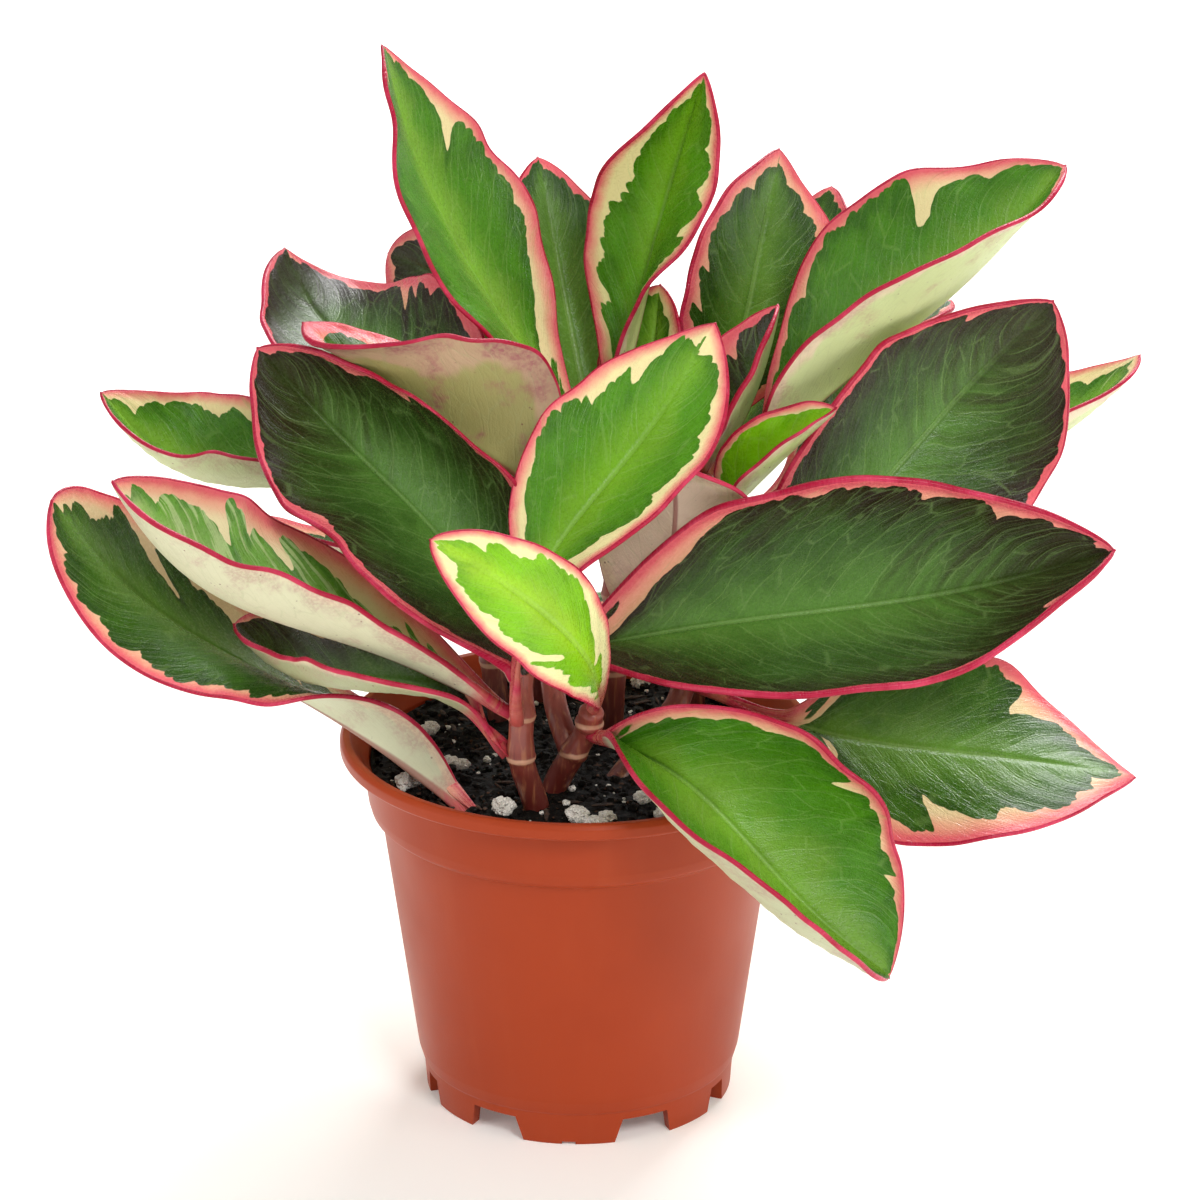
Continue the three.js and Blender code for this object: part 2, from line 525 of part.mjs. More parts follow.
// Soil fills the pot. Stems and the lowest leaf stand in plain holes, and grains lie half sunk on top.
function makeSoil() {
  const profile = [
    [0, FLOOR_TOP + CLEARANCE],
    [innerRadius(FLOOR_TOP) - SOIL_WALL_GAP, FLOOR_TOP + CLEARANCE],
    [innerRadius(BAND_BOTTOM - BAND_LEDGE) - SOIL_WALL_GAP, BAND_BOTTOM - BAND_LEDGE],
    [BAND_BOTTOM_RADIUS - WALL - SOIL_WALL_GAP, BAND_BOTTOM + BAND_STEP + SOIL_STEP],
    [BAND_TOP_RADIUS - WALL - SOIL_WALL_GAP, SOIL_LEVEL - SOIL_EDGE_DROP],
    [SOIL_OUTER_RING, SOIL_LEVEL],
    [SOIL_INNER_RING, SOIL_LEVEL + SOIL_CROWN * SOIL_CROWN_SHARE],
    [0, SOIL_LEVEL + SOIL_CROWN],
  ];
  let soil = toSolid(turned(profile, POT_SIDES));
  for (const [x, y, radius] of PERLITE) {
    const grain = new THREE.IcosahedronGeometry(radius, 0);
    const turn = x;
    grain.scale(1, 1, GRAIN_FLATNESS).rotateZ(turn).translate(x, y, SOIL_LEVEL + GRAIN_RISE * radius);
    soil = soil.add(toSolid(grain));
  }
  for (const stem of Object.values(STEMS)) {
    soil = soil.subtract(toSolid(stemGeometry(stem, CLEARANCE)));
  }
  const rooted = LEAVES.find((leaf) => leaf.root);
  soil = soil.subtract(toSolid(leafGeometry(rooted, 2 * CLEARANCE)));
  return toGeometry(soil);
}

function makeMesh(name, geometry, material) {
  const mesh = new THREE.Mesh(geometry, material);
  mesh.name = name;
  return mesh;
}

const terracotta = new THREE.MeshStandardMaterial({ color: 0xb44a2a, roughness: 0.45, metalness: 0 });
const peat = new THREE.MeshStandardMaterial({ color: 0x1c1713, roughness: 1, metalness: 0 });
const stemSkin = new THREE.MeshStandardMaterial({ color: 0x8c3f35, roughness: 0.4, metalness: 0 });
const leafSkin = new THREE.MeshStandardMaterial({ color: 0x3d7a2c, roughness: 0.3, metalness: 0 });

const plant = new THREE.Group();
plant.add(makeMesh('pot', makePot(), terracotta));
plant.add(makeMesh('soil', makeSoil(), peat));

// The centre stem forks from the front one, so the two are one piece.
const fork = toSolid(stemGeometry(STEMS.front)).add(toSolid(stemGeometry(STEMS.centre)));
plant.add(makeMesh('stem_front', toGeometry(fork), stemSkin));
for (const name of ['front_left', 'right', 'centre_back', 'left_back', 'right_back', 'back']) {
  plant.add(makeMesh(`stem_${name}`, stemGeometry(STEMS[name]), stemSkin));
}
for (const leaf of LEAVES) {
  plant.add(makeMesh(leaf.name, leafGeometry(leaf), leafSkin));
}

export default plant;
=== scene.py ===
"""A variegated peperomia in its plastic nursery pot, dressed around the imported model.

Lengths in the tables are millimetres, as in the part's own source, and every object is in metres.
The front of the plant faces -Y and +Z is up.
"""
import math
import random

import bpy
import numpy as np
from bpy.props import FloatProperty, FloatVectorProperty, IntProperty, PointerProperty
from bpy.types import Operator, Panel, PropertyGroup
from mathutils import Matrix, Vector, noise


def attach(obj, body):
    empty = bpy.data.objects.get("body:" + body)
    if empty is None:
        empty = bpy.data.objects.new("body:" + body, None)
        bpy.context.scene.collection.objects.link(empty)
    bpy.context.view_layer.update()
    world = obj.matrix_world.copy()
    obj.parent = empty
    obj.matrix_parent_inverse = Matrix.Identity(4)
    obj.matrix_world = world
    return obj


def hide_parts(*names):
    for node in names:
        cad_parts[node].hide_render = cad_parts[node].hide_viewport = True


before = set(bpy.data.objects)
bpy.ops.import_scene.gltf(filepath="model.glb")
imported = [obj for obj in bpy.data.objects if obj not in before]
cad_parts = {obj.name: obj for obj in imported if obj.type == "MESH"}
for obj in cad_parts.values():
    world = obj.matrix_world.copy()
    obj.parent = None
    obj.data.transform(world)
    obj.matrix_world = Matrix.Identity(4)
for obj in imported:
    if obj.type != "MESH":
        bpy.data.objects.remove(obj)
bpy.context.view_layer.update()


bl_info = {
    "name": "Variegated peperomia in a nursery pot",
    "version": (1, 0, 0),
    "blender": (4, 5, 0),
    "location": "3D View > Sidebar > Plant",
    "description": "Models the leaves, stems, soil and pot, and lights them in a plain studio",
    "category": "Object",
}

MM = 0.001

# Pot: the sizes of the part's source, with its small corners set for the look
RIM_RADIUS = 52.5
POT_HEIGHT = 84.6
RIM_MOUTH_RADIUS = 50.3
RIM_LIP_BOTTOM = 81.0
BAND_TOP_RADIUS = 47.7
BAND_BOTTOM_RADIUS = 46.4
BAND_BOTTOM = 67.0
BODY_TOP_RADIUS = 43.6
BODY_BOTTOM_RADIUS = 36.0
BODY_BOTTOM = 10.8
FOOT_RADIUS = 34.2
FOOT_HEIGHT = 5.7
FLOOR_UNDERSIDE = 7.5
FLOOR_TOP = 9.3
WALL = 1.5
RIM_ROUND = 0.8
RIM_SIDE_DROP = 1
RIM_THROAT = 1.2
RIM_BEVEL = 1.4
LIP_ROUND = 0.6
LIP_TUCK = 0.2
LIP_DROP = 1.6
LIP_OUT = 0.8
THROAT_DROP = 2
BAND_STEP = 3
BAND_ROUND = 0.6
BAND_LEDGE = 1
LEDGE_DROP = 0.8
LEDGE_TUCK = 0.3
FOOT_WALL = 2.4
FOOT_WALL_BOTTOM = 3
FOOT_SHOULDER = 0.6
FOOT_SHOULDER_OUT = 1
FOOT_SHOULDER_RISE = 0.5
FOOT_GAP_INSET = 8
FOOT_GAP_OUT = 4
MOULD_NOTCH = (3, 12, 1.4)
SOIL_WALL_GAP = 0.1
SOIL_SHOULDER = 3.2
SOIL_SINK = 0.4
SOIL_RINGS = 62
SOIL_STEPS = 220
ROUGHNESS_SINK = 0.3
CRUMB_SINK = 0.2
HEIGHT_SEARCH_STEPS = 30
FEET_TURN = -3.5
# Each foot: its direction in degrees, and half its width in degrees at the ground and at its top.
FEET = (
    (0, 16.7, 20), (50, 10.3, 12.2), (90, 16.7, 19), (130, 10.3, 12.2),
    (180, 16.7, 20), (230, 10.3, 12.2), (270, 16.7, 19), (310, 10.3, 12.2),
)
DRAIN_HOLE_RADIUS = 4.0
DRAIN_CIRCLE = 22.0
DRAIN_HOLES = 6

# Soil
SOIL_LEVEL = 79.0
SOIL_CROWN = 0.8
# Perlite grains: place and radius.
GRAINS = (
    (-37, -18, 2.4), (-16, -31.5, 2.3), (0, -36, 2.3), (4, -41, 2.2), (6.5, -37, 1.9), (-28, -8, 2),
    (-25.5, -8.5, 1.8), (-30, -24, 1.5), (18, -34, 1.6), (14, -26, 1.7), (-33, 12, 2), (0, 2, 1.8),
    (36, -6, 2), (14, 40, 2.1), (-26, 30, 2.2), (38, 14, 1.8),
)

# Leaves and stems, as in the part's source
BLADE = 1.2
EDGE = 0.9
PETIOLE = 1.7
TIP_HALF_WIDTH = 0.5
NECK_REACH = 0.2
CLASP_REACH = 0.45
PINCH_START = 0.6
BASE_TAPER = 1.25
NODE_SWELL = 0.5
NODE_REACH = 3.0
STEM_TAPER = 0.15
TOP_BASE_GAP = 0.5
CLEARANCE = 0.3

# Each stem: its radius, its points from inside the soil to its tip, and the heights of its ring scars.
STEMS = {
    "front_left": dict(radius=3.2, scars=(91, 100.5), points=(
        (-9, -29, 68), (-9, -29, 79), (-12, -30, 90), (-12, -30, 100), (-12, -28, 110))),
    "front": dict(radius=3.2, scars=(88.5, 96), points=(
        (-6, -19, 68), (-5, -19, 79), (-1, -21, 88), (2, -22, 94), (3, -24, 99))),
    "centre": dict(radius=2.9, scars=(104, 122), points=(
        (-1, -20, 86), (-5, -15, 98), (-6, -8, 112), (-4, -2, 136))),
    "right": dict(radius=3.0, scars=(90, 103, 118), points=(
        (4, -18, 74), (12, -9, 81), (21, -2, 90), (25, 1, 105), (26, 4, 125), (27, 8, 141))),
    "centre_back": dict(radius=3.0, scars=(93, 111, 129), points=(
        (7, 13, 68), (8, 14, 100), (8, 14, 125), (7, 12, 147))),
    "left_back": dict(radius=3.0, scars=(92, 107, 121), points=(
        (-16, 17, 68), (-20, 23, 100), (-20, 27, 120), (-18, 29, 131))),
    "right_back": dict(radius=3.0, scars=(97, 109, 121), points=(
        (24, 24, 68), (28, 28, 100), (29, 30, 122), (28, 34, 140))),
    "back": dict(radius=3.0, scars=(91, 95, 121), points=(
        (-8, 32, 68), (-8, 34, 100), (-7, 34, 122), (-6, 32, 140))),
}
STEM_NODES = {"front": "stem_front", "centre": None}

# A leaf's row gives the stem and height it grows from, its tip, its full width, how its midrib
# bends (bow up, sway sideways, nod as an S), how its blade is rolled and twisted, and how its
# halves fold up (cup: left and right as seen from base to tip), exactly as in the part's source.
LEAVES = (
    dict(name="leaf_top_left_tall", stem="centre_back", at=144, tip=(-42, 26, 233),
         width=52, bow=-5, sway=-2, nod=1, roll=-11, twist=6,
         fold=11, cup=(-25, 51), clasp=1, pinch=0, widest=0.57, blunt=0.83),
    dict(name="leaf_top_dark_behind", stem="centre_back", at=130, tip=(-9, 52, 200),
         width=37, bow=-1, sway=0, nod=0, roll=-1, twist=-13,
         fold=4, cup=(3, 10), clasp=10, pinch=0, widest=0.57, blunt=0.81),
    dict(name="leaf_top_centre_upright", stem="centre_back", at=147, tip=(27, 12, 231),
         width=34, bow=-10, sway=-12, nod=0, roll=-38, twist=-96,
         fold=31, cup=(36, -5), clasp=10, pinch=12, widest=0.59, blunt=0.77),
    dict(name="leaf_top_small_behind", stem="centre_back", at=137, tip=(18, 26, 179),
         width=25, bow=-2, sway=0, nod=0, roll=1, twist=2,
         fold=10, cup=(20, 18), clasp=10, pinch=1, widest=0.58, blunt=0.72),
    dict(name="leaf_top_right_dark", stem="right_back", at=140, tip=(44, 42, 205),
         width=43, bow=6, sway=-2, nod=1, roll=-96, twist=-21,
         fold=5, cup=(13, 24), clasp=9, pinch=-2, widest=0.58, blunt=0.91),
    dict(name="leaf_upper_right_folded", stem="right", at=137, tip=(105, 20, 208),
         width=60, bow=0, sway=4, nod=2, roll=3, twist=-50,
         fold=38, cup=(28, 10), clasp=-54, pinch=-7, widest=0.58, blunt=0.74),
    dict(name="leaf_back_top_right", stem="right_back", at=131, tip=(57, 72, 187),
         width=34, bow=0, sway=1, nod=0, roll=16, twist=1,
         fold=6, cup=(5, 5), clasp=10, pinch=-1, widest=0.58, blunt=0.72),
    dict(name="leaf_back_right", stem="right_back", at=122, tip=(83, 48, 168),
         width=37, bow=1, sway=6, nod=-5, roll=14, twist=-29,
         fold=13, cup=(15, 16), clasp=10, pinch=-13, widest=0.59, blunt=0.67),
    dict(name="leaf_right_dark_broad", stem="right", at=116, tip=(102, 6, 182),
         width=58, bow=1, sway=5, nod=6, roll=-91, twist=-5,
         fold=9, cup=(32, -1), clasp=10, pinch=8, widest=0.58, blunt=0.77),
    dict(name="leaf_right_young", stem="right", at=131, tip=(55, -12, 164),
         width=24, bow=3, sway=2, nod=0, roll=-57, twist=21,
         fold=47, cup=(35, 35), clasp=10, pinch=-4, widest=0.55, blunt=0.75, stalk=0.15),
    dict(name="leaf_centre_dark_narrow", stem="right", at=141, tip=(43, 6, 181),
         width=27, bow=-1, sway=5, nod=0, roll=-22, twist=-15,
         fold=32, cup=(27, 7), clasp=14, pinch=-5, widest=0.58, blunt=0.76),
    dict(name="leaf_far_right", stem="right_back", at=110, tip=(124, 34, 160),
         width=47, bow=-5, sway=4, nod=3, roll=3, twist=-5,
         fold=22, cup=(37, 41), clasp=10, pinch=-27, widest=0.59, blunt=0.72),
    dict(name="leaf_right_broad", stem="centre", at=107, tip=(114, -26, 137),
         width=64, bow=4, sway=3, nod=4, roll=-52, twist=-9,
         fold=20, cup=(50, 37), clasp=20, pinch=27, widest=0.50, blunt=0.73),
    dict(name="leaf_lower_right", stem="right", at=96, tip=(121, -18, 81),
         width=56, bow=0, sway=5, nod=-2, roll=-23, twist=29,
         fold=0, cup=(21, -5), clasp=70, pinch=-5, widest=0.58, blunt=1.00, stalk=0.20),
    dict(name="leaf_front_right_drooping", stem="front", at=95, tip=(66, -60, 53),
         width=61, bow=13, sway=4, nod=4, roll=-25, twist=39,
         fold=15, cup=(73, 74), clasp=88, pinch=12, widest=0.56, blunt=0.70),
    dict(name="leaf_centre_light", stem="front_left", at=102, tip=(29, -18, 185),
         width=43, bow=9, sway=-1, nod=5, roll=-21, twist=-42,
         fold=6, cup=(15, 25), clasp=10, pinch=-21, widest=0.60, blunt=0.96, stalk=0.20),
    dict(name="leaf_front_small", stem="front", at=99, tip=(-30, -59, 152),
         width=24, bow=14, sway=1, nod=0, roll=85, twist=24,
         fold=4, cup=(-11, 5), clasp=29, pinch=-1, widest=0.63, blunt=0.71),
    dict(name="leaf_left_glossy_broad", stem="front_left", at=110, tip=(-69, 7, 171),
         width=59, bow=-1, sway=4, nod=3, roll=27, twist=45,
         fold=28, cup=(-2, 90), clasp=-7, pinch=2, widest=0.48, blunt=0.77),
    dict(name="leaf_left_folded", stem="front_left", at=102, tip=(-97, -38, 157),
         width=46, bow=-8, sway=1, nod=4, roll=9, twist=19,
         fold=26, cup=(58, 19), clasp=16, pinch=-2, widest=0.65, blunt=0.75),
    dict(name="leaf_lower_left", root=(-21, -33, 76), tip=(-111, -28, 149),
         width=43, bow=-5, sway=21, nod=3, roll=-16, twist=87,
         fold=13, cup=(-55, 25), clasp=118, pinch=-13, widest=0.58, blunt=0.56),
    dict(name="leaf_left_dark_narrow", stem="front_left", at=93, tip=(-74, -16, 116),
         width=40, bow=1, sway=1, nod=5, roll=14, twist=-20,
         fold=8, cup=(72, -10), clasp=116, pinch=3, widest=0.60, blunt=0.60, stalk=0.08),
    dict(name="leaf_far_left", stem="left_back", at=122, tip=(-105, 26, 154),
         width=43, bow=-6, sway=-1, nod=6, roll=13, twist=14,
         fold=20, cup=(62, 22), clasp=10, pinch=-10, widest=0.64, blunt=0.82),
    dict(name="leaf_upper_left_dark", stem="left_back", at=131, tip=(-66, 61, 176),
         width=47, bow=10, sway=-7, nod=8, roll=24, twist=-63,
         fold=7, cup=(39, 29), clasp=10, pinch=-19, widest=0.55, blunt=0.75),
    dict(name="leaf_upper_left_turned", stem="centre", at=136, tip=(-59, 6, 177),
         width=52, bow=-1, sway=-5, nod=1, roll=-26, twist=90,
         fold=40, cup=(22, -52), clasp=16, pinch=-34, widest=0.38, blunt=0.89),
    dict(name="leaf_back_top_left", stem="back", at=138, tip=(-43, 70, 172),
         width=33, bow=3, sway=9, nod=-1, roll=64, twist=3,
         fold=11, cup=(10, 10), clasp=10, pinch=0, widest=0.58, blunt=0.70),
    dict(name="leaf_centre_underside", stem="right", at=104, tip=(19, -24, 157),
         width=39, bow=-4, sway=0, nod=-6, roll=7, twist=12,
         fold=11, cup=(0, 10), clasp=10, pinch=-19, widest=0.59, blunt=0.71),
    dict(name="leaf_rear_left_low", stem="back", at=96, tip=(-64, 80, 90),
         width=50, bow=6, sway=0, nod=2, roll=5, twist=5,
         fold=12, cup=(20, 20), clasp=20, pinch=0, widest=0.58, blunt=0.72),
    dict(name="leaf_rear_low", stem="back", at=92, tip=(4, 83, 76),
         width=44, bow=9, sway=3, nod=1, roll=-5, twist=0,
         fold=10, cup=(20, 20), clasp=20, pinch=0, widest=0.58, blunt=0.70),
    dict(name="leaf_rear_right_low", stem="right_back", at=98, tip=(66, 80, 96),
         width=50, bow=10, sway=0, nod=2, roll=4, twist=0,
         fold=10, cup=(22, 22), clasp=20, pinch=0, widest=0.58, blunt=0.72),
    dict(name="leaf_rear_left_middle", stem="back", at=122, tip=(-50, 79, 160),
         width=46, bow=5, sway=0, nod=0, roll=-10, twist=0,
         fold=16, cup=(20, 20), clasp=15, pinch=0, widest=0.58, blunt=0.75),
    dict(name="leaf_rear_middle", stem="centre_back", at=112, tip=(14, 81, 146),
         width=36, bow=6, sway=0, nod=0, roll=10, twist=0,
         fold=16, cup=(20, 20), clasp=15, pinch=0, widest=0.58, blunt=0.75),
    dict(name="leaf_left_low_behind", stem="left_back", at=108, tip=(-121, 60, 106),
         width=38, bow=4, sway=0, nod=0, roll=-20, twist=0,
         fold=10, cup=(20, 20), clasp=20, pinch=0, widest=0.60, blunt=0.75),
)

# How each leaf is coloured and finished: its age, the width of its pale band on its left and
# right in millimetres, how deep the lobes of the green reach into the band, how far the pink
# spreads in from the margin, the radius of the raised margin, the share of paler green, and
# wedges of the band that run inwards (side, place along the leaf, half length, depth). A leaf
# whose lower face shows may have its own colours there (under, under_band) and its own share
# of the purple-pink flush.
LOOKS = {
    "leaf_top_left_tall": dict(age="mid", band=(0.1, 2.4), lobe=2.4, blush=1.9, bead=0.55, pale=0.1,
                               under="B9C48E",
                               wedges=((1, 0.84, 0.05, 7), (1, 0.36, 0.16, 6), (-1, 0.95, 0.05, 2))),
    "leaf_top_dark_behind": dict(age="deep", band=(1.2, 1.8), lobe=2.4, blush=3.2, bead=0.5, pale=0.0,
                                 wedges=((1, 0.74, 0.06, 7),)),
    "leaf_top_centre_upright": dict(age="light", band=(2.2, 1.5), lobe=2.6, blush=1.3, bead=0.5, pale=0.1,
                                    under="C4D08C", wedges=((-1, 0.74, 0.18, 4.5), (1, 0.62, 0.05, 3))),
    "leaf_top_small_behind": dict(age="mid", band=(2.0, 3.4), lobe=2.2, blush=1.4, bead=0.45, pale=0.0,
                                  wedges=((1, 0.75, 0.1, 3),)),
    "leaf_top_right_dark": dict(age="deep", band=(2.6, 2.2), lobe=3.4, blush=3.0, bead=0.55, pale=0.12,
                                wedges=((1, 0.62, 0.08, 5), (-1, 0.5, 0.04, 4), (-1, 0.62, 0.03, 3))),
    "leaf_upper_right_folded": dict(age="mid", band=(1.8, 1.6), lobe=2.6, blush=2.2, bead=0.55, pale=0.0,
                                    under="CDD79C", wedges=((-1, 0.79, 0.085, 10),)),
    "leaf_back_top_right": dict(age="deep", band=(2.0, 2.0), lobe=2.0, blush=2.5, bead=0.45, pale=0.3,
                                wedges=()),
    "leaf_back_right": dict(age="deep", band=(2.0, 2.0), lobe=2.0, blush=2.5, bead=0.45, pale=0.2,
                            wedges=()),
    "leaf_right_dark_broad": dict(age="dark", band=(1.0, 1.2), lobe=2.8, blush=4.5, bead=0.6, pale=0.0,
                                  wedges=((-1, 0.9, 0.04, 3), (1, 0.1, 0.08, 8))),
    "leaf_right_young": dict(age="fresh", band=(1.3, 1.2), lobe=1.6, blush=1.0, bead=0.4, pale=0.0,
                             under="CFE094", wedges=()),
    "leaf_centre_dark_narrow": dict(age="dark", band=(1.8, 0.5), lobe=2.4, blush=4.5, bead=0.65, pale=0.0,
                                    under="B9C48A", wedges=((-1, 0.78, 0.06, 3),)),
    "leaf_far_right": dict(age="mid", band=(2.6, 3.0), lobe=2.4, blush=1.0, bead=0.45, pale=0.3,
                           under="C9D49A", wedges=()),
    "leaf_right_broad": dict(age="dark", band=(2.0, 0.7), lobe=2.2, blush=3.2, bead=0.8, pale=0.06,
                             wedges=((-1, 0.26, 0.1, 4), (-1, 0.46, 0.05, 2), (-1, 0.7, 0.03, 2),
                                     (1, 0.9, 0.06, 3))),
    "leaf_lower_right": dict(age="deep", band=(3.0, 3.2), lobe=4.6, blush=3.2, bead=0.55, pale=0.16,
                             wedges=((-1, 0.8, 0.09, 6), (1, 0.66, 0.09, 6), (1, 0.5, 0.04, 3))),
    "leaf_front_right_drooping": dict(age="mid", band=(1.5, 0.2), lobe=2.2, blush=1.8, bead=0.6, pale=0.04,
                                      under="C6CBA6", wedges=((-1, 0.55, 0.05, 4), (-1, 0.85, 0.03, 3))),
    "leaf_centre_light": dict(age="light", band=(2.6, 3.4), lobe=3.2, blush=1.4, bead=0.5, pale=0.08,
                              wedges=((-1, 0.9, 0.07, 5), (1, 0.42, 0.2, 4), (-1, 0.4, 0.2, 1.5))),
    "leaf_front_small": dict(age="fresh", band=(1.9, 1.9), lobe=2.6, blush=0.8, bead=0.4, pale=0.06,
                             wedges=((1, 0.5, 0.08, 2.5), (-1, 0.62, 0.06, 2.5))),
    "leaf_left_glossy_broad": dict(age="dark", band=(1.2, 1.6), lobe=2.2, blush=4.0, bead=0.6, pale=0.0,
                                   wedges=((-1, 0.52, 0.14, 3), (1, 0.62, 0.04, 3))),
    "leaf_left_folded": dict(age="pale", band=(0.6, 3.4), lobe=3.8, blush=2.6, bead=0.7, pale=0.62,
                             under="D6D4B2", wedges=((1, 0.8, 0.05, 7), (1, 0.62, 0.06, 6))),
    "leaf_lower_left": dict(age="deep", band=(1.4, 3.6), lobe=4.4, blush=1.8, bead=0.6, pale=0.16,
                            under="D0D2B2", wedges=((1, 0.82, 0.04, 9), (1, 0.6, 0.14, 6))),
    "leaf_left_dark_narrow": dict(age="dark", band=(0.6, 1.6), lobe=2.0, blush=2.0, bead=0.6, pale=0.0,
                                  under="A9AE84", wedges=((1, 0.8, 0.08, 5),)),
    "leaf_far_left": dict(age="mid", band=(0.4, 3.0), lobe=3.0, blush=1.3, bead=0.5, pale=0.04,
                          under="C4CC98", wedges=((1, 0.6, 0.05, 4),)),
    "leaf_upper_left_dark": dict(age="dark", band=(1.0, 2.2), lobe=2.2, blush=4.0, bead=0.6, pale=0.0,
                                 wedges=((1, 0.64, 0.035, 7), (1, 0.58, 0.03, 4))),
    "leaf_upper_left_turned": dict(age="deep", band=(7.0, 7.0), lobe=3.0, blush=6.0, bead=0.75, pale=0.2,
                                   under="A9A268", under_band="C4A486", flush=1.0, wedges=()),
    "leaf_back_top_left": dict(age="dark", band=(2.2, 2.2), lobe=2.0, blush=2.4, bead=0.45, pale=0.3,
                               wedges=((-1, 0.5, 0.08, 5),)),
    "leaf_centre_underside": dict(age="deep", band=(3.5, 3.5), lobe=3.0, blush=2.5, bead=0.55, pale=0.2,
                                  under="E8D0BC", wedges=()),
    "leaf_rear_left_low": dict(age="dark", band=(1.8, 1.8), lobe=2.6, blush=3.5, bead=0.6, pale=0.05,
                               wedges=((1, 0.5, 0.06, 5),)),
    "leaf_rear_low": dict(age="deep", band=(2.6, 3.2), lobe=2.8, blush=2.4, bead=0.55, pale=0.1,
                          wedges=((-1, 0.55, 0.05, 6),)),
    "leaf_rear_right_low": dict(age="dark", band=(1.6, 2.6), lobe=2.6, blush=3.2, bead=0.6, pale=0.05,
                                wedges=((-1, 0.62, 0.05, 6),)),
    "leaf_rear_left_middle": dict(age="mid", band=(3.0, 2.2), lobe=2.8, blush=2.0, bead=0.55, pale=0.1,
                                  wedges=((1, 0.6, 0.05, 6),)),
    "leaf_rear_middle": dict(age="light", band=(3.0, 3.0), lobe=2.6, blush=1.5, bead=0.5, pale=0.1,
                             wedges=((-1, 0.66, 0.06, 5),)),
    "leaf_left_low_behind": dict(age="deep", band=(2.0, 2.6), lobe=2.6, blush=2.2, bead=0.55, pale=0.1,
                                 wedges=()),
}

# Where one side of a leaf is fuller or slimmer than its row says: side, place along the leaf,
# half length of the change, and millimetres added.
BULGES = {
    "leaf_left_glossy_broad": ((-1, 0.17, 0.30, 16.0),),
    "leaf_lower_right": ((-1, 0.36, 0.22, 6.0),),
    "leaf_top_left_tall": ((-1, 0.86, 0.07, -1.6), (-1, 0.70, 0.1, 1.4), (1, 0.62, 0.1, 0.8)),
    }

# A leaf's mesh: points round its section, rows along it, and how its veins run
TOP_COLUMNS = 20
UNDER_COLUMNS = 12
BEAD_COLUMNS = 5
LEAF_ROWS = 110
BEAD_BLEND = 2.4
VEIN_SPACING = 9.0
VEIN_REACH = 0.30
VEIN_BEND = 1.25
BASE_SINK = 2.2


def tint(code):
    """A colour written as six hexadecimal digits, as linear red, green and blue."""
    parts = [int(code[i:i + 2], 16) / 255 for i in (0, 2, 4)]
    return tuple(part / 12.92 if part < 0.04045 else ((part + 0.055) / 1.055) ** 2.4 for part in parts)


def colour_setting(name, description, code):
    return FloatVectorProperty(name=name, description=description, subtype="COLOR", size=3,
                               min=0, max=1, default=tint(code))


def length_setting(name, description, millimetres):
    return FloatProperty(name=name, description=description, unit="LENGTH", min=0,
                         default=millimetres * MM)


def count_setting(name, description, count, least=0):
    return IntProperty(name=name, description=description, min=least, default=count)


def power_setting(name, description, watts):
    return FloatProperty(name=name, description=description, unit="POWER", min=0, default=watts)


def strength_setting(name, description, strength):
    return FloatProperty(name=name, description=description, min=0, default=strength)


class PotSettings(PropertyGroup):
    """What a user would change on the pot."""
    turns: count_setting("Turns", "How many steps the pot is spun in", 144, 48)
    edge_round: length_setting("Edge rounding", "Radius of the pot's rounded edges", 0.3)
    colour: colour_setting("Plastic", "Colour of the pot's plastic", "A33C18")
    worn: colour_setting("Worn plastic", "Colour of the pot's dusty and rubbed places", "AE4C28")


class SoilSettings(PropertyGroup):
    """What a user would change on the soil."""
    crumbs: count_setting("Crumbs", "How many loose crumbs lie on the soil", 900)
    chips: count_setting("Chips", "How many small perlite chips lie on the soil", 90)
    roughness: length_setting("Unevenness", "How far the soil's surface rises and falls", 1.5)
    peat: colour_setting("Peat", "Colour of the dark peat", "17110D")
    bark: colour_setting("Bark", "Colour of the brown bits in the peat", "4A3020")
    perlite: colour_setting("Perlite", "Colour of the perlite grains", "F6F1E8")


class StemSettings(PropertyGroup):
    """What a user would change on the stems."""
    sides: count_setting("Sides", "Points round a stem", 28, 8)
    scar_rise: length_setting("Scar rise", "How far a ring scar stands out of a stem", 0.3)
    young: colour_setting("Young stem", "Colour at the top of a stem", "B0584A")
    old: colour_setting("Old stem", "Colour of a stem near the soil", "5A2019")
    scar: colour_setting("Ring scar", "Colour of the papery rings", "D9A98A")


class LeafSettings(PropertyGroup):
    """What a user would change on the leaves."""
    vein_depth: length_setting("Vein depth", "How deep the side veins lie in the upper face", 0.11)
    groove_depth: length_setting("Midrib groove", "How deep the midrib lies in the upper face", 0.45)
    ridge_height: length_setting("Midrib ridge", "How far the midrib stands out below", 0.7)
    margin: colour_setting("Margin", "Colour of the raised margin", "A80C34")
    margin_light: colour_setting("Light margin", "Colour of the margin's paler stretches", "C63052")
    pink: colour_setting("Pink", "Colour of the band next to the margin", "E8626E")
    salmon: colour_setting("Salmon", "Colour between the pink and the cream", "F0A088")
    vein: colour_setting("Vein", "Colour of the veins on the upper face", "A9C77E")
    under: colour_setting("Underside", "Colour of the lower face", "BCC68F")
    under_band: colour_setting("Underside band", "Colour of the lower face near the margin", "E6D3B4")
    under_flush: colour_setting("Underside flush", "Colour of the purple-pink flush below", "A8606A")


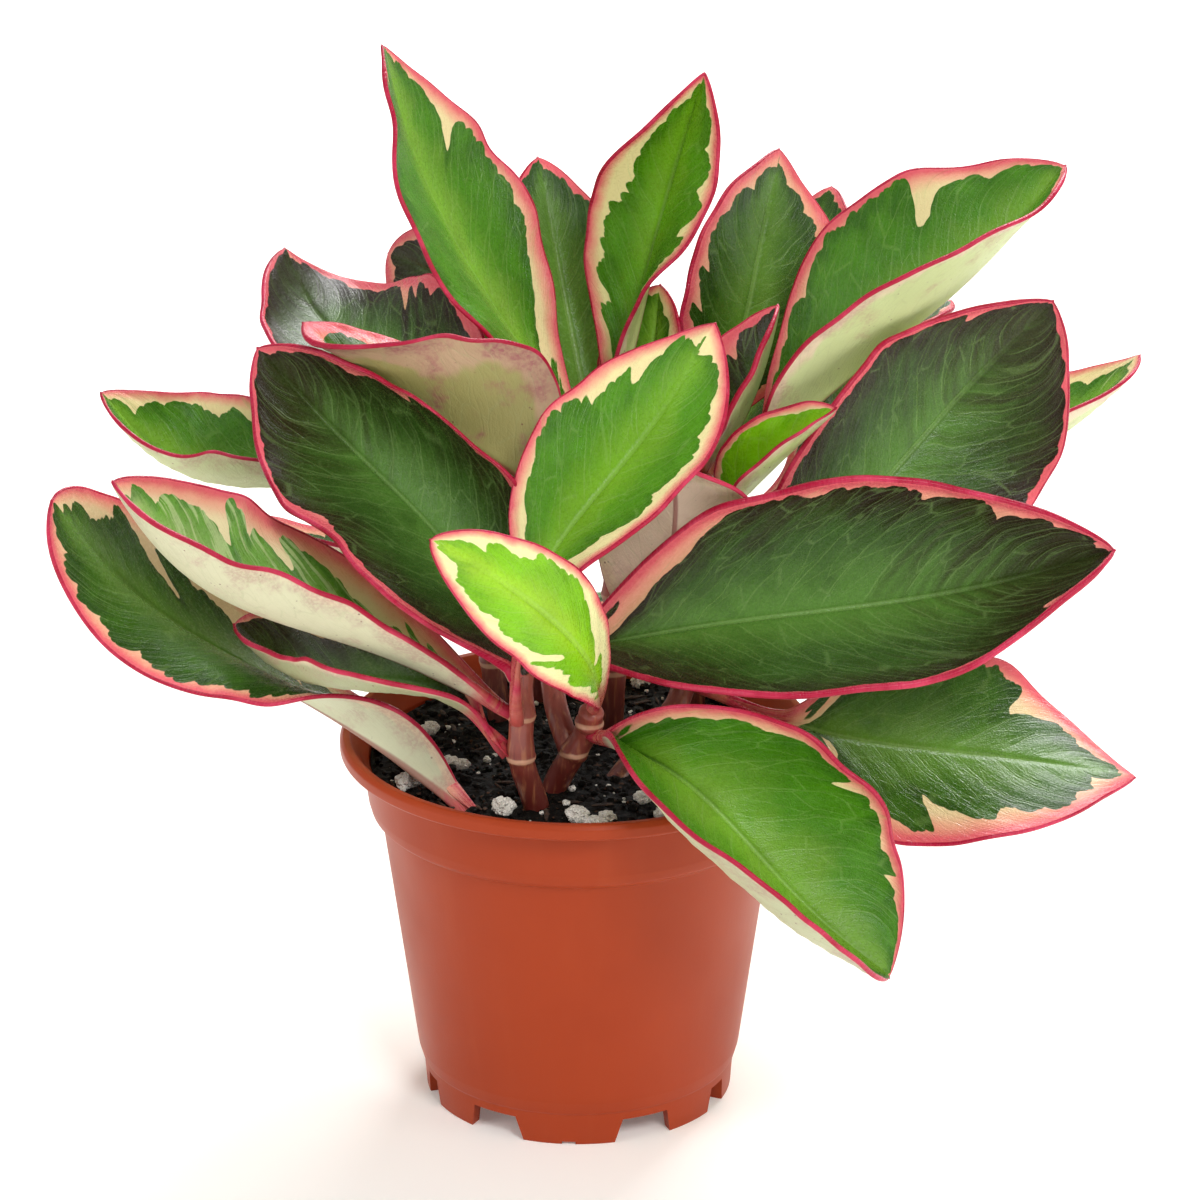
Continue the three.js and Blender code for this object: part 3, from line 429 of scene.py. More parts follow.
class StudioSettings(PropertyGroup):
    """What a user would change in the studio."""
    key: power_setting("Key light", "Power of the large front light", 15)
    side: power_setting("Side light", "Power of the light from the left", 6)
    top: power_setting("Top light", "Power of the light from above", 6)
    rear: power_setting("Rear light", "Power of the light behind, which gives the leaves their sheen", 22)
    right: power_setting("Right light", "Power of the light low on the right", 3)
    sky: strength_setting("Room light", "Strength of the even light of the room", 0.36)
    floor: colour_setting("Floor", "Colour of the floor", "FBF9F4")
    glow: strength_setting("Floor glow", "How much light the lit floor gives by itself", 0.24)


# What the greens of a leaf of each age are: near the midrib, the field, and next to the band;
# how far the dark fringe reaches in, how strong it is, and how dark the tip goes; and its gloss.
AGES = {
    "fresh": dict(heart="9FD028", field="7DBC0E", fringe="5E9E0A", cream="F4EDAE", reach=3, fringe_share=0.4,
                  tip=0.0, rough=0.28),
    "light": dict(heart="72A81C", field="4B860A", fringe="336A08", cream="F2E3A6", reach=5, fringe_share=0.5,
                  tip=0.1, rough=0.28),
    "mid": dict(heart="78A82E", field="467E10", fringe="2C600C", cream="F0DCA4", reach=5, fringe_share=0.6,
                tip=0.1, rough=0.28),
    "pale": dict(heart="B4CC80", field="6C9E38", fringe="3A7220", cream="EFDCAE", reach=4, fringe_share=0.6,
                 tip=0.0, rough=0.30),
    "deep": dict(heart="5E8A2E", field="365E14", fringe="20400C", cream="E9CFA0", reach=7, fringe_share=0.75,
                 tip=0.2, rough=0.24),
    "dark": dict(heart="5C8836", field="34541A", fringe="28140E", cream="CDA878", reach=14, fringe_share=0.95,
                 tip=0.85, rough=0.26),
}


def unit_rows(rows):
    return rows / np.linalg.norm(rows, axis=-1, keepdims=True)


def clear_selection():
    if bpy.context.object is not None and bpy.context.object.mode != "OBJECT":
        bpy.ops.object.mode_set(mode="OBJECT")
    bpy.ops.object.select_all(action="DESELECT")


def closed_skin(name, points):
    """Wraps a grid round rows of points, first and last column alike, and draws each end to its middle."""
    rows, columns = points.shape[0], points.shape[1]
    clear_selection()
    bpy.ops.mesh.primitive_grid_add(x_subdivisions=columns - 1, y_subdivisions=rows - 1, size=2)
    piece = bpy.context.active_object
    piece.name = name
    mesh = piece.data
    mesh.name = name
    flat = np.empty(len(mesh.vertices) * 3)
    mesh.vertices.foreach_get("co", flat)
    flat = flat.reshape(-1, 3)
    column = np.rint((flat[:, 0] + 1) / 2 * (columns - 1)).astype(int)
    row = np.rint((flat[:, 1] + 1) / 2 * (rows - 1)).astype(int)
    mesh.vertices.foreach_set("co", (points[row, column] * MM).astype(np.float32).ravel())
    return piece, row, column


def join_seam(piece):
    """Merges the points that meet, and turns every face outwards."""
    clear_selection()
    piece.select_set(True)
    bpy.context.view_layer.objects.active = piece
    bpy.ops.object.mode_set(mode="EDIT")
    bpy.ops.mesh.select_all(action="SELECT")
    bpy.ops.mesh.remove_doubles(threshold=1e-6)
    bpy.ops.mesh.dissolve_degenerate(threshold=1e-7)
    bpy.ops.mesh.normals_make_consistent(inside=False)
    bpy.ops.object.mode_set(mode="OBJECT")
    bpy.ops.object.shade_smooth()


def store_vectors(mesh, name, values):
    attribute = mesh.attributes.new(name, "FLOAT_VECTOR", "POINT")
    attribute.data.foreach_set("vector", values.astype(np.float32).ravel())


def finish_piece(piece, node, material):
    """Gives a piece its material and its body, and hides the node of the model that it stands for."""
    piece.data.materials.clear()
    piece.data.materials.append(material)
    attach(piece, "root")
    if node:
        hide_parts(node)


def curve_point(points, t):
    """The point at t of the centripetal curve that the stem's source runs through its points."""
    points = [np.array(point, float) for point in points]
    place = (len(points) - 1) * t
    start = min(int(place), len(points) - 2)
    weight = place - start
    before = points[start - 1] if start > 0 else 2 * points[0] - points[1]
    after = points[start + 2] if start + 2 < len(points) else 2 * points[-1] - points[-2]
    first, second = points[start], points[start + 1]
    gaps = [np.sum((b - a) ** 2) ** 0.25 for a, b in ((before, first), (first, second), (second, after))]
    leave = (first - before) / gaps[0] - (second - before) / (gaps[0] + gaps[1]) + (second - first) / gaps[1]
    arrive = (second - first) / gaps[1] - (after - first) / (gaps[1] + gaps[2]) + (after - second) / gaps[2]
    leave = leave * gaps[1]
    arrive = arrive * gaps[1]
    square = -3 * first + 3 * second - 2 * leave - arrive
    cube = 2 * first - 2 * second + leave + arrive
    return first + leave * weight + square * weight ** 2 + cube * weight ** 3


def curve_direction(points, t):
    step = 1e-4
    return unit_rows(curve_point(points, min(t + step, 1)) - curve_point(points, max(t - step, 0)))


def stem_radius(name, t, height):
    grown = [leaf["at"] for leaf in LEAVES if leaf.get("stem") == name]
    nearest = min(abs(at - height) for at in grown)
    return STEMS[name]["radius"] * (1 - STEM_TAPER * t) - NODE_SWELL * min(1, nearest / NODE_REACH)


def leaf_tangent(leaf, base):
    """The direction in which the midrib leaves its base."""
    return leaf_frames(leaf, base, np.array([0.0]))[1][0]


def leaf_base(leaf):
    """Where the petiole starts: beside the stem, or over its tip, as in the part's source."""
    if "root" in leaf:
        return np.array(leaf["root"], float)
    points = STEMS[leaf["stem"]]["points"]
    low, high = 0.0, 1.0
    for _ in range(HEIGHT_SEARCH_STEPS):
        middle = (low + high) / 2
        if curve_point(points, middle)[2] < leaf["at"]:
            low = middle
        else:
            high = middle
    axis = curve_point(points, low)
    direction = curve_direction(points, low)
    start = leaf_tangent(leaf, axis)
    rise = float(start @ direction)
    if leaf["at"] >= points[-1][2]:
        return axis + direction * (TOP_BASE_GAP + PETIOLE * math.sqrt(1 - rise * rise))
    sideways = unit_rows(start - direction * rise)
    tilt = math.sqrt(1 - float(start @ sideways) ** 2)
    return axis + sideways * (stem_radius(leaf["stem"], low, leaf["at"]) + CLEARANCE + PETIOLE * tilt)


def leaf_frames(leaf, base, t):
    """The midrib's points, directions, crosswise directions and normals at the places t."""
    chord = np.array(leaf["tip"], float) - base
    along = unit_rows(chord)
    level = unit_rows(np.cross(along, [0, 0, 1]))
    raised = np.cross(level, along)
    roll = math.radians(leaf["roll"])
    side = level * math.cos(roll) + raised * math.sin(roll)
    face = np.cross(side, along)
    arch = (4 * t * (1 - t))[:, None]
    arch_slope = (4 * (1 - 2 * t))[:, None]
    wave = np.sin(2 * np.pi * t)[:, None]
    wave_slope = (2 * np.pi * np.cos(2 * np.pi * t))[:, None]
    point = base + chord * t[:, None] + face * (leaf["bow"] * arch + leaf["nod"] * wave) \
        + side * leaf["sway"] * arch
    tangent = unit_rows(chord + face * (leaf["bow"] * arch_slope + leaf["nod"] * wave_slope)
                        + side * leaf["sway"] * arch_slope)
    turn = np.radians(leaf["twist"] * (t - 0.5))[:, None]
    across = side * np.cos(turn) + face * np.sin(turn)
    across = unit_rows(across - tangent * np.sum(across * tangent, axis=1, keepdims=True))
    return point, tangent, across, np.cross(across, tangent)


def leaf_half_width(leaf, t):
    stalk = leaf.get("stalk", 0)
    rise = np.clip((t - stalk) / (leaf["widest"] - stalk), 0, 1)
    fall = np.clip((t - leaf["widest"]) / (1 - leaf["widest"]), 0, 1)
    spread = np.where(t < leaf["widest"], np.sin(np.pi / 2 * rise) ** BASE_TAPER,
                      (1 - fall * fall) ** leaf["blunt"])
    narrow = TIP_HALF_WIDTH + (PETIOLE - TIP_HALF_WIDTH) * np.sqrt(1 - fall)
    return narrow + (leaf["width"] / 2 - PETIOLE) * spread


def ease(value, start, end):
    """0 before start, 1 after end, smooth between."""
    share = np.clip((value - start) / (end - start), 0, 1)
    return share * share * (3 - 2 * share)


def ripple(draw, t, waves):
    """A gentle random wave along the leaf that dies out at its ends."""
    total = np.zeros_like(t)
    for count, size in waves:
        total += size * np.sin(2 * np.pi * (count * t + draw.random()))
    return total * ease(t, 0.12, 0.35) * (1 - ease(t, 0.9, 1.0))


def crowded(count):
    """Places from 0 to 1, closer together at both ends."""
    even = np.linspace(0, 1, count + 1)
    return even - 0.8 * np.sin(2 * np.pi * even) / (2 * np.pi)


def section_layout():
    """Round a leaf's section from the middle of its under face: share of the width, face and bead angle."""
    under = crowded(UNDER_COLUMNS)
    top = crowded(TOP_COLUMNS)
    turn = np.linspace(-90, 90, BEAD_COLUMNS + 2)[1:-1]
    bead = np.ones(BEAD_COLUMNS)
    share = np.concatenate([under, bead, top[::-1], -top[1:], -bead, -under[::-1]])
    top_count = 2 * TOP_COLUMNS + 1
    below = -np.ones(len(under))
    face = np.concatenate([below, 0 * bead, np.ones(top_count), 0 * bead, below])
    angle = np.concatenate([0 * under, turn, np.zeros(top_count), turn[::-1], 0 * under])
    return share, face, np.radians(angle)


def make_leaf(leaf, look, settings, draw):
    """One leaf: petiole, blade, raised margin, midrib and veins as one closed skin."""
    share, face, angle = section_layout()
    base = leaf_base(leaf)
    t = 1 - (1 - np.linspace(0, 1, LEAF_ROWS)) ** 1.25
    point, tangent, across, normal = leaf_frames(leaf, base, t)
    along = np.concatenate([[0], np.cumsum(np.linalg.norm(np.diff(point, axis=0), axis=1))])
    length = along[-1]
    big = leaf["width"] / 40
    half_sides = []
    lift_sides = []
    for side in (-1, 1):
        width = leaf_half_width(leaf, t) + big * ripple(draw, t, ((3, 0.3), (5, 0.22), (8, 0.07)))
        for bulge_side, place, spread, added in BULGES.get(leaf["name"], ()):
            if bulge_side == side:
                width = width + added * (1 - ease(np.abs(t - place), 0, spread))
        half_sides.append(width)
        lift_sides.append(big * ripple(draw, t, ((2, 0.35), (4, 0.35), (7, 0.12))))
    on_right = (share > 0)[None, :]
    half = np.where(on_right, half_sides[1][:, None], half_sides[0][:, None])
    wave = np.where(on_right, lift_sides[1][:, None], lift_sides[0][:, None])
    middle = (half_sides[0] + half_sides[1])[:, None] / 2
    half = np.where(share[None, :] == 0, middle, half)

    neck = (np.clip(1 - t / NECK_REACH, 0, 1) ** 2)[:, None]
    bead = look["bead"] * np.clip(leaf_half_width(leaf, t) / 8, 0.6, 1)[:, None]
    bead = bead + (0.9 * PETIOLE - bead) * neck
    bead = np.minimum(bead, 0.85 * half)
    edge = 1 - bead / half
    reach = np.abs(share)[None, :] * edge
    sign = np.sign(share)[None, :]

    fold = leaf["fold"] + leaf["clasp"] * np.clip(1 - t / CLASP_REACH, 0, 1) ** 2 \
        + leaf["pinch"] * np.clip((t - PINCH_START) / (1 - PINCH_START), 0, 1) ** 2
    fold = np.radians(fold)[:, None]
    cup = np.where(on_right, leaf["cup"][1], leaf["cup"][0])
    cup = np.radians(cup * half / (leaf["width"] / 2))
    cup = np.where(np.abs(cup) < 1e-4, 1e-4, cup)
    slope = fold + cup * reach
    out = sign * half * (np.sin(slope) - np.sin(fold)) / cup
    height = half * (np.cos(fold) - np.cos(slope)) / cup + wave * reach ** 3
    lean = sign * np.sin(slope) * np.tanh(reach / 0.04)
    rest = np.sqrt(1 - lean * lean)

    out_mm = reach * half
    inset = (1 - reach) * half
    flow = (t[:, None] - VEIN_REACH * reach ** VEIN_BEND) * length
    thick = (BLADE + (EDGE - BLADE) * reach ** 2) / 2
    thick = thick + (PETIOLE - thick) * neck
    near_edge = ease(inset, bead + BEAD_BLEND, bead)
    thick = thick - 0.1 * np.exp(-((inset - bead - 1.8) / 1.0) ** 2) * (1 - neck)
    thick = thick + (bead - thick) * near_edge
    wide = ease(leaf_half_width(leaf, t), 3.5, 9)[:, None]
    vein_gap = np.abs(flow / VEIN_SPACING - np.floor(flow / VEIN_SPACING) - 0.5) * VEIN_SPACING
    vein = np.exp(-(vein_gap / 0.9) ** 2) * wide * (1 - ease(reach, 0.7, 0.95)) * ease(out_mm, 0.5, 3)
    puff = np.cos(2 * np.pi * flow / VEIN_SPACING) * wide * ease(out_mm, 1, 6) * (1 - ease(reach, 0.75, 1))
    groove = np.exp(-(out_mm / 0.8) ** 2) * (1 - ease(t, 0.75, 1.0))[:, None] * ease(t, 0.04, 0.15)[:, None]
    ridge = np.exp(-(out_mm / 1.1) ** 2) * (1 - ease(t, 0.2, 0.95))[:, None] * wide
    relief_top = 0.12 * puff - settings.vein_depth / MM * vein - settings.groove_depth / MM * groove
    relief_under = 0.08 * puff - settings.ridge_height / MM * ridge - 0.1 * vein
    lift = np.where(face > 0, thick + relief_top * (1 - near_edge), -thick + relief_under * (1 - near_edge))

    turn = angle[None, :]
    on_bead = (face == 0)[None, :]
    swell = bead * np.cos(turn)
    rise = np.where(on_bead, bead * np.sin(turn), lift)
    swell = np.where(on_bead, swell, 0)
    away = out - rise * lean + swell * sign * np.cos(slope)
    up = height + rise * rest + swell * np.sin(slope)
    points = point[:, None, :] + across[:, None, :] * away[:, :, None] + normal[:, None, :] * up[:, :, None]

    # The petiole's foot sinks into its stem, and both ends are drawn into a point.
    sink = points[:1] - tangent[0] * BASE_SINK
    foot = np.broadcast_to(point[:1, None, :] - tangent[0] * (BASE_SINK + 0.3), sink.shape)
    tip = np.broadcast_to(point[-1:, None, :] + tangent[-1] * 0.5, sink.shape)
    points = np.concatenate([foot, sink, points, tip])

    piece, row, column = closed_skin(leaf["name"].removeprefix("leaf_") + "_leaf", points)
    rows = [0, 0] + list(range(len(t))) + [len(t) - 1]
    inset_shown = np.where(on_bead, bead * (1 - np.cos(turn)), inset)
    under = np.where(on_bead, 0.5 - 0.5 * np.sin(turn), np.where(face[None, :] < 0, 1.0, 0.0))
    place = np.stack([sign * out_mm, np.broadcast_to(along[:, None], inset.shape), inset_shown], axis=2)[rows]
    shares = np.stack([sign * reach, np.broadcast_to(t[:, None], inset.shape),
                       np.broadcast_to(under, inset.shape)], axis=2)[rows]
    store_vectors(piece.data, "leaf_place", place[row, column])
    store_vectors(piece.data, "leaf_share", shares[row, column])
    join_seam(piece)
    finish_piece(piece, leaf["name"], leaf_finish(leaf, look, length, settings, draw))


class NodeSheet:
    """Adds nodes to one material and joins them, so that a finish reads as a list of steps."""

    def __init__(self, name):
        self.material = bpy.data.materials.new(name)
        self.material.use_nodes = True
        self.tree = self.material.node_tree
        self.tree.nodes.clear()
        self.output = self.tree.nodes.new("ShaderNodeOutputMaterial")
        self.shader = self.tree.nodes.new("ShaderNodeBsdfPrincipled")
        self.tree.links.new(self.shader.outputs[0], self.output.inputs["Surface"])

    def put(self, socket, value):
        if isinstance(value, bpy.types.NodeSocket):
            self.tree.links.new(value, socket)
        elif isinstance(value, (tuple, list)) or hasattr(value, "__len__"):
            value = tuple(value)
            socket.default_value = value + (1.0,) if len(value) < len(socket.default_value) else value
        else:
            socket.default_value = value

    def math(self, operation, first, second=0.0, third=0.0, clamp=False):
        node = self.tree.nodes.new("ShaderNodeMath")
        node.operation = operation
        node.use_clamp = clamp
        for socket, value in zip(node.inputs, (first, second, third)):
            self.put(socket, value)
        return node.outputs[0]

    def add(self, *values):
        total = values[0]
        for value in values[1:]:
            total = self.math("ADD", total, value)
        return total

    def times(self, *values):
        total = values[0]
        for value in values[1:]:
            total = self.math("MULTIPLY", total, value)
        return total

    def less(self, first, second):
        return self.math("SUBTRACT", first, second)

    def fade(self, value, start, end, low=0.0, high=1.0):
        """Goes smoothly from low at start to high at end."""
        node = self.tree.nodes.new("ShaderNodeMapRange")
        node.interpolation_type = "SMOOTHSTEP"
        for name, number in (("Value", value), ("From Min", start), ("From Max", end),
                             ("To Min", low), ("To Max", high)):
            self.put(node.inputs[name], number)
        return node.outputs[0]

    def blend(self, share, first, second):
        node = self.tree.nodes.new("ShaderNodeMix")
        node.data_type = "RGBA"
        self.put(node.inputs["Factor"], share)
        self.put(node.inputs[6], first)
        self.put(node.inputs[7], second)
        return node.outputs[2]

    def attribute(self, name):
        node = self.tree.nodes.new("ShaderNodeAttribute")
        node.attribute_name = name
        return node.outputs["Vector"]

    def object_place(self):
        return self.tree.nodes.new("ShaderNodeTexCoord").outputs["Object"]

    def split(self, vector):
        node = self.tree.nodes.new("ShaderNodeSeparateXYZ")
        self.put(node.inputs[0], vector)
        return node.outputs

    def joined(self, x, y, z=0.0):
        node = self.tree.nodes.new("ShaderNodeCombineXYZ")
        for socket, value in zip(node.inputs, (x, y, z)):
            self.put(socket, value)
        return node.outputs[0]

    def noise(self, vector, scale, detail=2.0, roughness=0.5, distortion=0.0):
        node = self.tree.nodes.new("ShaderNodeTexNoise")
        self.put(node.inputs["Vector"], vector)
        for name, number in (("Scale", scale), ("Detail", detail), ("Roughness", roughness),
                             ("Distortion", distortion)):
            node.inputs[name].default_value = number
        return node.outputs["Fac"]

    def cells(self, vector, scale, feature="F1", randomness=1.0, flat=False):
        node = self.tree.nodes.new("ShaderNodeTexVoronoi")
        node.feature = feature
        if flat:
            node.voronoi_dimensions = "2D"
        self.put(node.inputs["Vector"], vector)
        node.inputs["Scale"].default_value = scale
        node.inputs["Randomness"].default_value = randomness
        return node.outputs["Distance"]

    def bump(self, height, distance, strength=1.0, below=None):
        node = self.tree.nodes.new("ShaderNodeBump")
        node.inputs["Strength"].default_value = strength
        node.inputs["Distance"].default_value = distance
        self.put(node.inputs["Height"], height)
        if below is not None:
            self.put(node.inputs["Normal"], below)
        return node.outputs[0]

    def finish(self, colour, roughness, normal=None, specular=0.5, coat=0.0, coat_rough=0.2):
        self.put(self.shader.inputs["Base Color"], colour)
        self.put(self.shader.inputs["Roughness"], roughness)
        if normal is not None:
            self.put(self.shader.inputs["Normal"], normal)
        self.shader.inputs["Specular IOR Level"].default_value = specular
        self.shader.inputs["Coat Weight"].default_value = coat
        self.shader.inputs["Coat Roughness"].default_value = coat_rough
        return self.material


def leaf_finish(leaf, look, length, settings, draw):
    """Green with veins, a lobed cream to pink band, a raised red margin and a pale flecked underside."""
    age = AGES[look["age"]]
    seed = round(draw.uniform(0, 90), 2)
    sheet = NodeSheet(leaf["name"].removeprefix("leaf_") + "_finish")
    across, along, inset = sheet.split(sheet.attribute("leaf_place"))
    share, t, under = sheet.split(sheet.attribute("leaf_share"))
    out = sheet.math("ABSOLUTE", across)
    reach = sheet.math("ABSOLUTE", share)
    side = sheet.math("SIGN", across)
    right = sheet.fade(side, -0.5, 0.5)
    flat = sheet.joined(across, along, seed)
    drift = sheet.less(sheet.noise(flat, 0.12, 1), 0.5)
    bend = sheet.math("POWER", reach, VEIN_BEND)
    flow = sheet.times(sheet.less(t, sheet.times(bend, VEIN_REACH)), length)
    flow = sheet.add(flow, sheet.times(drift, 3.0))
    shift = sheet.times(side, 37.0 + seed)
    gentle = sheet.times(sheet.less(t, sheet.times(bend, 0.35 * VEIN_REACH)), length)
    gentle = sheet.add(gentle, sheet.times(drift, 3.0))

    # The band: its inner border runs in lobes and small teeth that follow the veins.
    swell = sheet.noise(sheet.joined(sheet.times(flow, 0.045), shift, seed), 1.0, 1)
    broad = sheet.joined(sheet.times(gentle, 0.17), sheet.add(sheet.times(across, 0.05), shift))
    narrow = sheet.joined(sheet.times(gentle, 0.45), sheet.add(sheet.times(across, 0.12), shift))
    lobes = sheet.cells(broad, 1.0, flat=True)
    teeth = sheet.cells(narrow, 1.0, flat=True)
    frayed = sheet.noise(sheet.joined(sheet.times(flow, 1.6), sheet.times(across, 0.5), seed), 1.0, 2)
    width = sheet.fade(right, 0.0, 1.0, look["band"][0], look["band"][1])
    width = sheet.times(width, sheet.fade(swell, 0.3, 0.7, 0.35, 1.5))
    rich = [min(1, value / 2.0) for value in look["band"]]
    lobed = sheet.add(sheet.times(sheet.math("POWER", lobes, 2.0), 1.5 * look["lobe"]),
                      sheet.times(sheet.math("POWER", teeth, 2.0), 0.9 * look["lobe"] ** 0.5),
                      sheet.times(sheet.less(frayed, 0.5), 0.35))
    width = sheet.add(width, sheet.times(lobed, sheet.fade(right, 0.0, 1.0, rich[0], rich[1])), 0.2)
    for wedge_side, place, half_length, depth in look["wedges"]:
        share_along = sheet.math("DIVIDE", flow, length)
        near = sheet.math("ABSOLUTE", sheet.less(share_along, place - VEIN_REACH * 0.8))
        wedge = sheet.math("POWER", sheet.fade(near, half_length, 0.0), 1.5)
        there = sheet.fade(sheet.times(side, wedge_side), -0.5, 0.5)
        width = sheet.add(width, sheet.times(wedge, there, depth))
    border = sheet.less(inset, width)
    green_share = sheet.fade(border, -0.12, 0.14)

    # The green, from the heart of the leaf to its fringe.
    blotches = sheet.noise(flat, 0.11, 3)
    streaks = sheet.noise(sheet.joined(sheet.times(flow, 0.35), sheet.times(across, 0.07), seed + 5), 1.0, 3)
    grain = sheet.noise(flat, 1.3, 3, 0.6)
    green = sheet.blend(sheet.fade(sheet.add(reach, sheet.times(sheet.less(blotches, 0.5), 0.8)), 0.0, 0.55),
                        tint(age["heart"]), tint(age["field"]))
    uneven = sheet.times(sheet.less(blotches, 0.5), 9.0)
    depth_in = sheet.add(border, sheet.times(sheet.less(streaks, 0.5), 9.0), uneven)
    fringe = sheet.times(sheet.fade(depth_in, age["reach"], 0.0), age["fringe_share"])
    near_tip = sheet.add(t, sheet.times(sheet.less(streaks, 0.5), 0.5))
    tip_dark = sheet.times(sheet.fade(near_tip, 0.5, 0.95), age["tip"])
    fringe = sheet.math("MAXIMUM", fringe, tip_dark)
    green = sheet.blend(fringe, green, tint(age["fringe"]))
    pale = sheet.fade(streaks, 0.80 - 0.45 * look["pale"], 0.86 - 0.45 * look["pale"])
    pale = sheet.times(pale, sheet.fade(out, 1.0, 3.0), 0.6 if look["pale"] > 0 else 0.0)
    green = sheet.blend(pale, green, tint("C6D49A"))
    shade = sheet.fade(grain, 0.25, 0.75, 0.92, 1.06)
    shade = sheet.times(shade, sheet.fade(blotches, 0.3, 0.7, 0.84, 1.12))
    dark = sheet.tree.nodes.new("ShaderNodeMix")
    dark.data_type = "RGBA"
    dark.blend_type = "MULTIPLY"
    dark.inputs["Factor"].default_value = 1.0
    sheet.put(dark.inputs[6], green)
    sheet.put(dark.inputs[7], sheet.joined(shade, shade, shade))
    green = dark.outputs[2]

    # Veins: arching side veins, a fine net between them, and the midrib as a pale double line.
    gap = sheet.math("FRACT", sheet.math("DIVIDE", flow, VEIN_SPACING))
    gap = sheet.math("ABSOLUTE", sheet.less(gap, 0.5))
    gap = sheet.times(gap, VEIN_SPACING)
    side_vein = sheet.times(sheet.fade(gap, 0.36, 0.05), sheet.fade(reach, 0.95, 0.3),
                            sheet.fade(out, 0.5, 3.0))
    fork = sheet.joined(sheet.times(flow, 0.2), sheet.times(across, 0.1), seed)
    fork = sheet.cells(fork, 1.0, "DISTANCE_TO_EDGE")
    net = sheet.joined(sheet.times(flow, 0.5), sheet.times(across, 0.3), seed)
    net = sheet.cells(net, 1.0, "DISTANCE_TO_EDGE")
    fine = sheet.add(sheet.times(sheet.fade(fork, 0.035, 0.005), 0.22),
                     sheet.times(sheet.fade(net, 0.05, 0.01), 0.10))
    fine = sheet.times(fine, sheet.fade(out, 1.0, 4.0))
    rib = sheet.times(sheet.fade(out, 0.9, 0.4), sheet.fade(t, 1.0, 0.5))
    rib_line = sheet.fade(out, 0.12, 0.4)
    lines = sheet.math("MAXIMUM", sheet.times(side_vein, 0.28), sheet.times(fine, 0.8))
    lines = sheet.math("MAXIMUM", lines, sheet.times(rib, sheet.fade(rib_line, 0.0, 1.0, 0.25, 0.45)))
    vein_colour = sheet.blend(0.45, tuple(settings.vein), tint(age["heart"]))
    green = sheet.blend(lines, green, vein_colour)

    # The band's colours, from the margin inwards.
    wander = sheet.times(sheet.less(sheet.noise(flat, 0.3, 2), 0.5), 1.6)
    depth = sheet.add(inset, wander)
    blush = look["blush"]
    band = sheet.blend(sheet.fade(depth, blush * 3.0, blush * 1.1), tint(age["cream"]),
                       tuple(settings.salmon))
    band = sheet.blend(sheet.fade(depth, blush * 1.5, blush * 0.45), band, tuple(settings.pink))
    band = sheet.blend(sheet.times(sheet.fade(streaks, 0.6, 0.75), 0.25), band, vein_colour)
    top = sheet.blend(green_share, band, green)

    # The underside shows the band through it, with a purple-pink flush and dark flecks.
    below = sheet.blend(sheet.fade(border, -1.5, 1.5),
                        tint(look["under_band"]) if "under_band" in look else tuple(settings.under_band),
                        tint(look["under"]) if "under" in look else tuple(settings.under))
    flush = sheet.add(sheet.noise(flat, 0.09, 4, 0.6), sheet.fade(inset, 9.0, 0.0, 0.0, 0.16))
    flush = sheet.fade(flush, 0.52, 0.72)
    flush = sheet.times(flush, sheet.fade(grain, 0.35, 0.6, 0.35, 0.9), look.get("flush", 0.45))
    below = sheet.blend(flush, below, tuple(settings.under_flush))
    flecks = sheet.cells(sheet.joined(sheet.times(across, 0.5), sheet.times(along, 0.5), seed), 1.0)
    rare = sheet.fade(sheet.noise(flat, 0.16, 1), 0.5, 0.62)
    below = sheet.blend(sheet.times(sheet.fade(flecks, 0.16, 0.08), rare, 0.7), below, tint("6E2C34"))
    red_rib = sheet.times(sheet.fade(out, 0.7, 0.3), sheet.fade(t, 1.0, 0.8), 0.7)
    below = sheet.blend(red_rib, below, tint("8E3038"))
    below = sheet.blend(sheet.times(fine, 0.8), below, tint("A9AE7E"))
    colour = sheet.blend(sheet.fade(under, 0.4, 0.6), top, below)

    # The raised margin, and the petiole, which is red all round.
    red = sheet.blend(sheet.fade(sheet.noise(sheet.joined(along, shift, seed), 0.12, 3), 0.42, 0.66),
                      tuple(settings.margin), tuple(settings.margin_light))
    margin_share = sheet.add(inset, sheet.times(wander, 0.2))
    margin_share = sheet.fade(margin_share, look["bead"] * 1.2, look["bead"] * 0.8)
    colour = sheet.blend(margin_share, colour, red)
    half = sheet.add(inset, out)
    stalk = sheet.fade(sheet.add(half, sheet.times(wander, 0.8)), 6.0, 2.8)
    stalk = sheet.times(stalk, sheet.fade(t, 0.45, 0.3))
    stalk_red = sheet.blend(sheet.fade(streaks, 0.4, 0.6), red, tint("C46A58"))
    colour = sheet.blend(sheet.times(stalk, 0.9), colour, stalk_red)

    # Gloss and fine relief
    wrinkle = sheet.joined(sheet.times(flow, 0.9), sheet.times(across, 0.35), seed)
    wrinkle = sheet.noise(wrinkle, 1.0, 3, 0.6, 0.6)
    skin = sheet.noise(flat, 2.6, 2)
    relief = sheet.add(sheet.times(wrinkle, 0.55), sheet.times(skin, 0.3), sheet.times(lines, -0.5))
    normal = sheet.bump(relief, 0.00042, 0.75)
    rough = sheet.fade(grain, 0.3, 0.7, age["rough"] - 0.05, age["rough"] + 0.08)
    rough = sheet.add(rough, sheet.times(sheet.fade(under, 0.4, 0.6), 0.14))
    return sheet.finish(colour, rough, normal, specular=0.3)


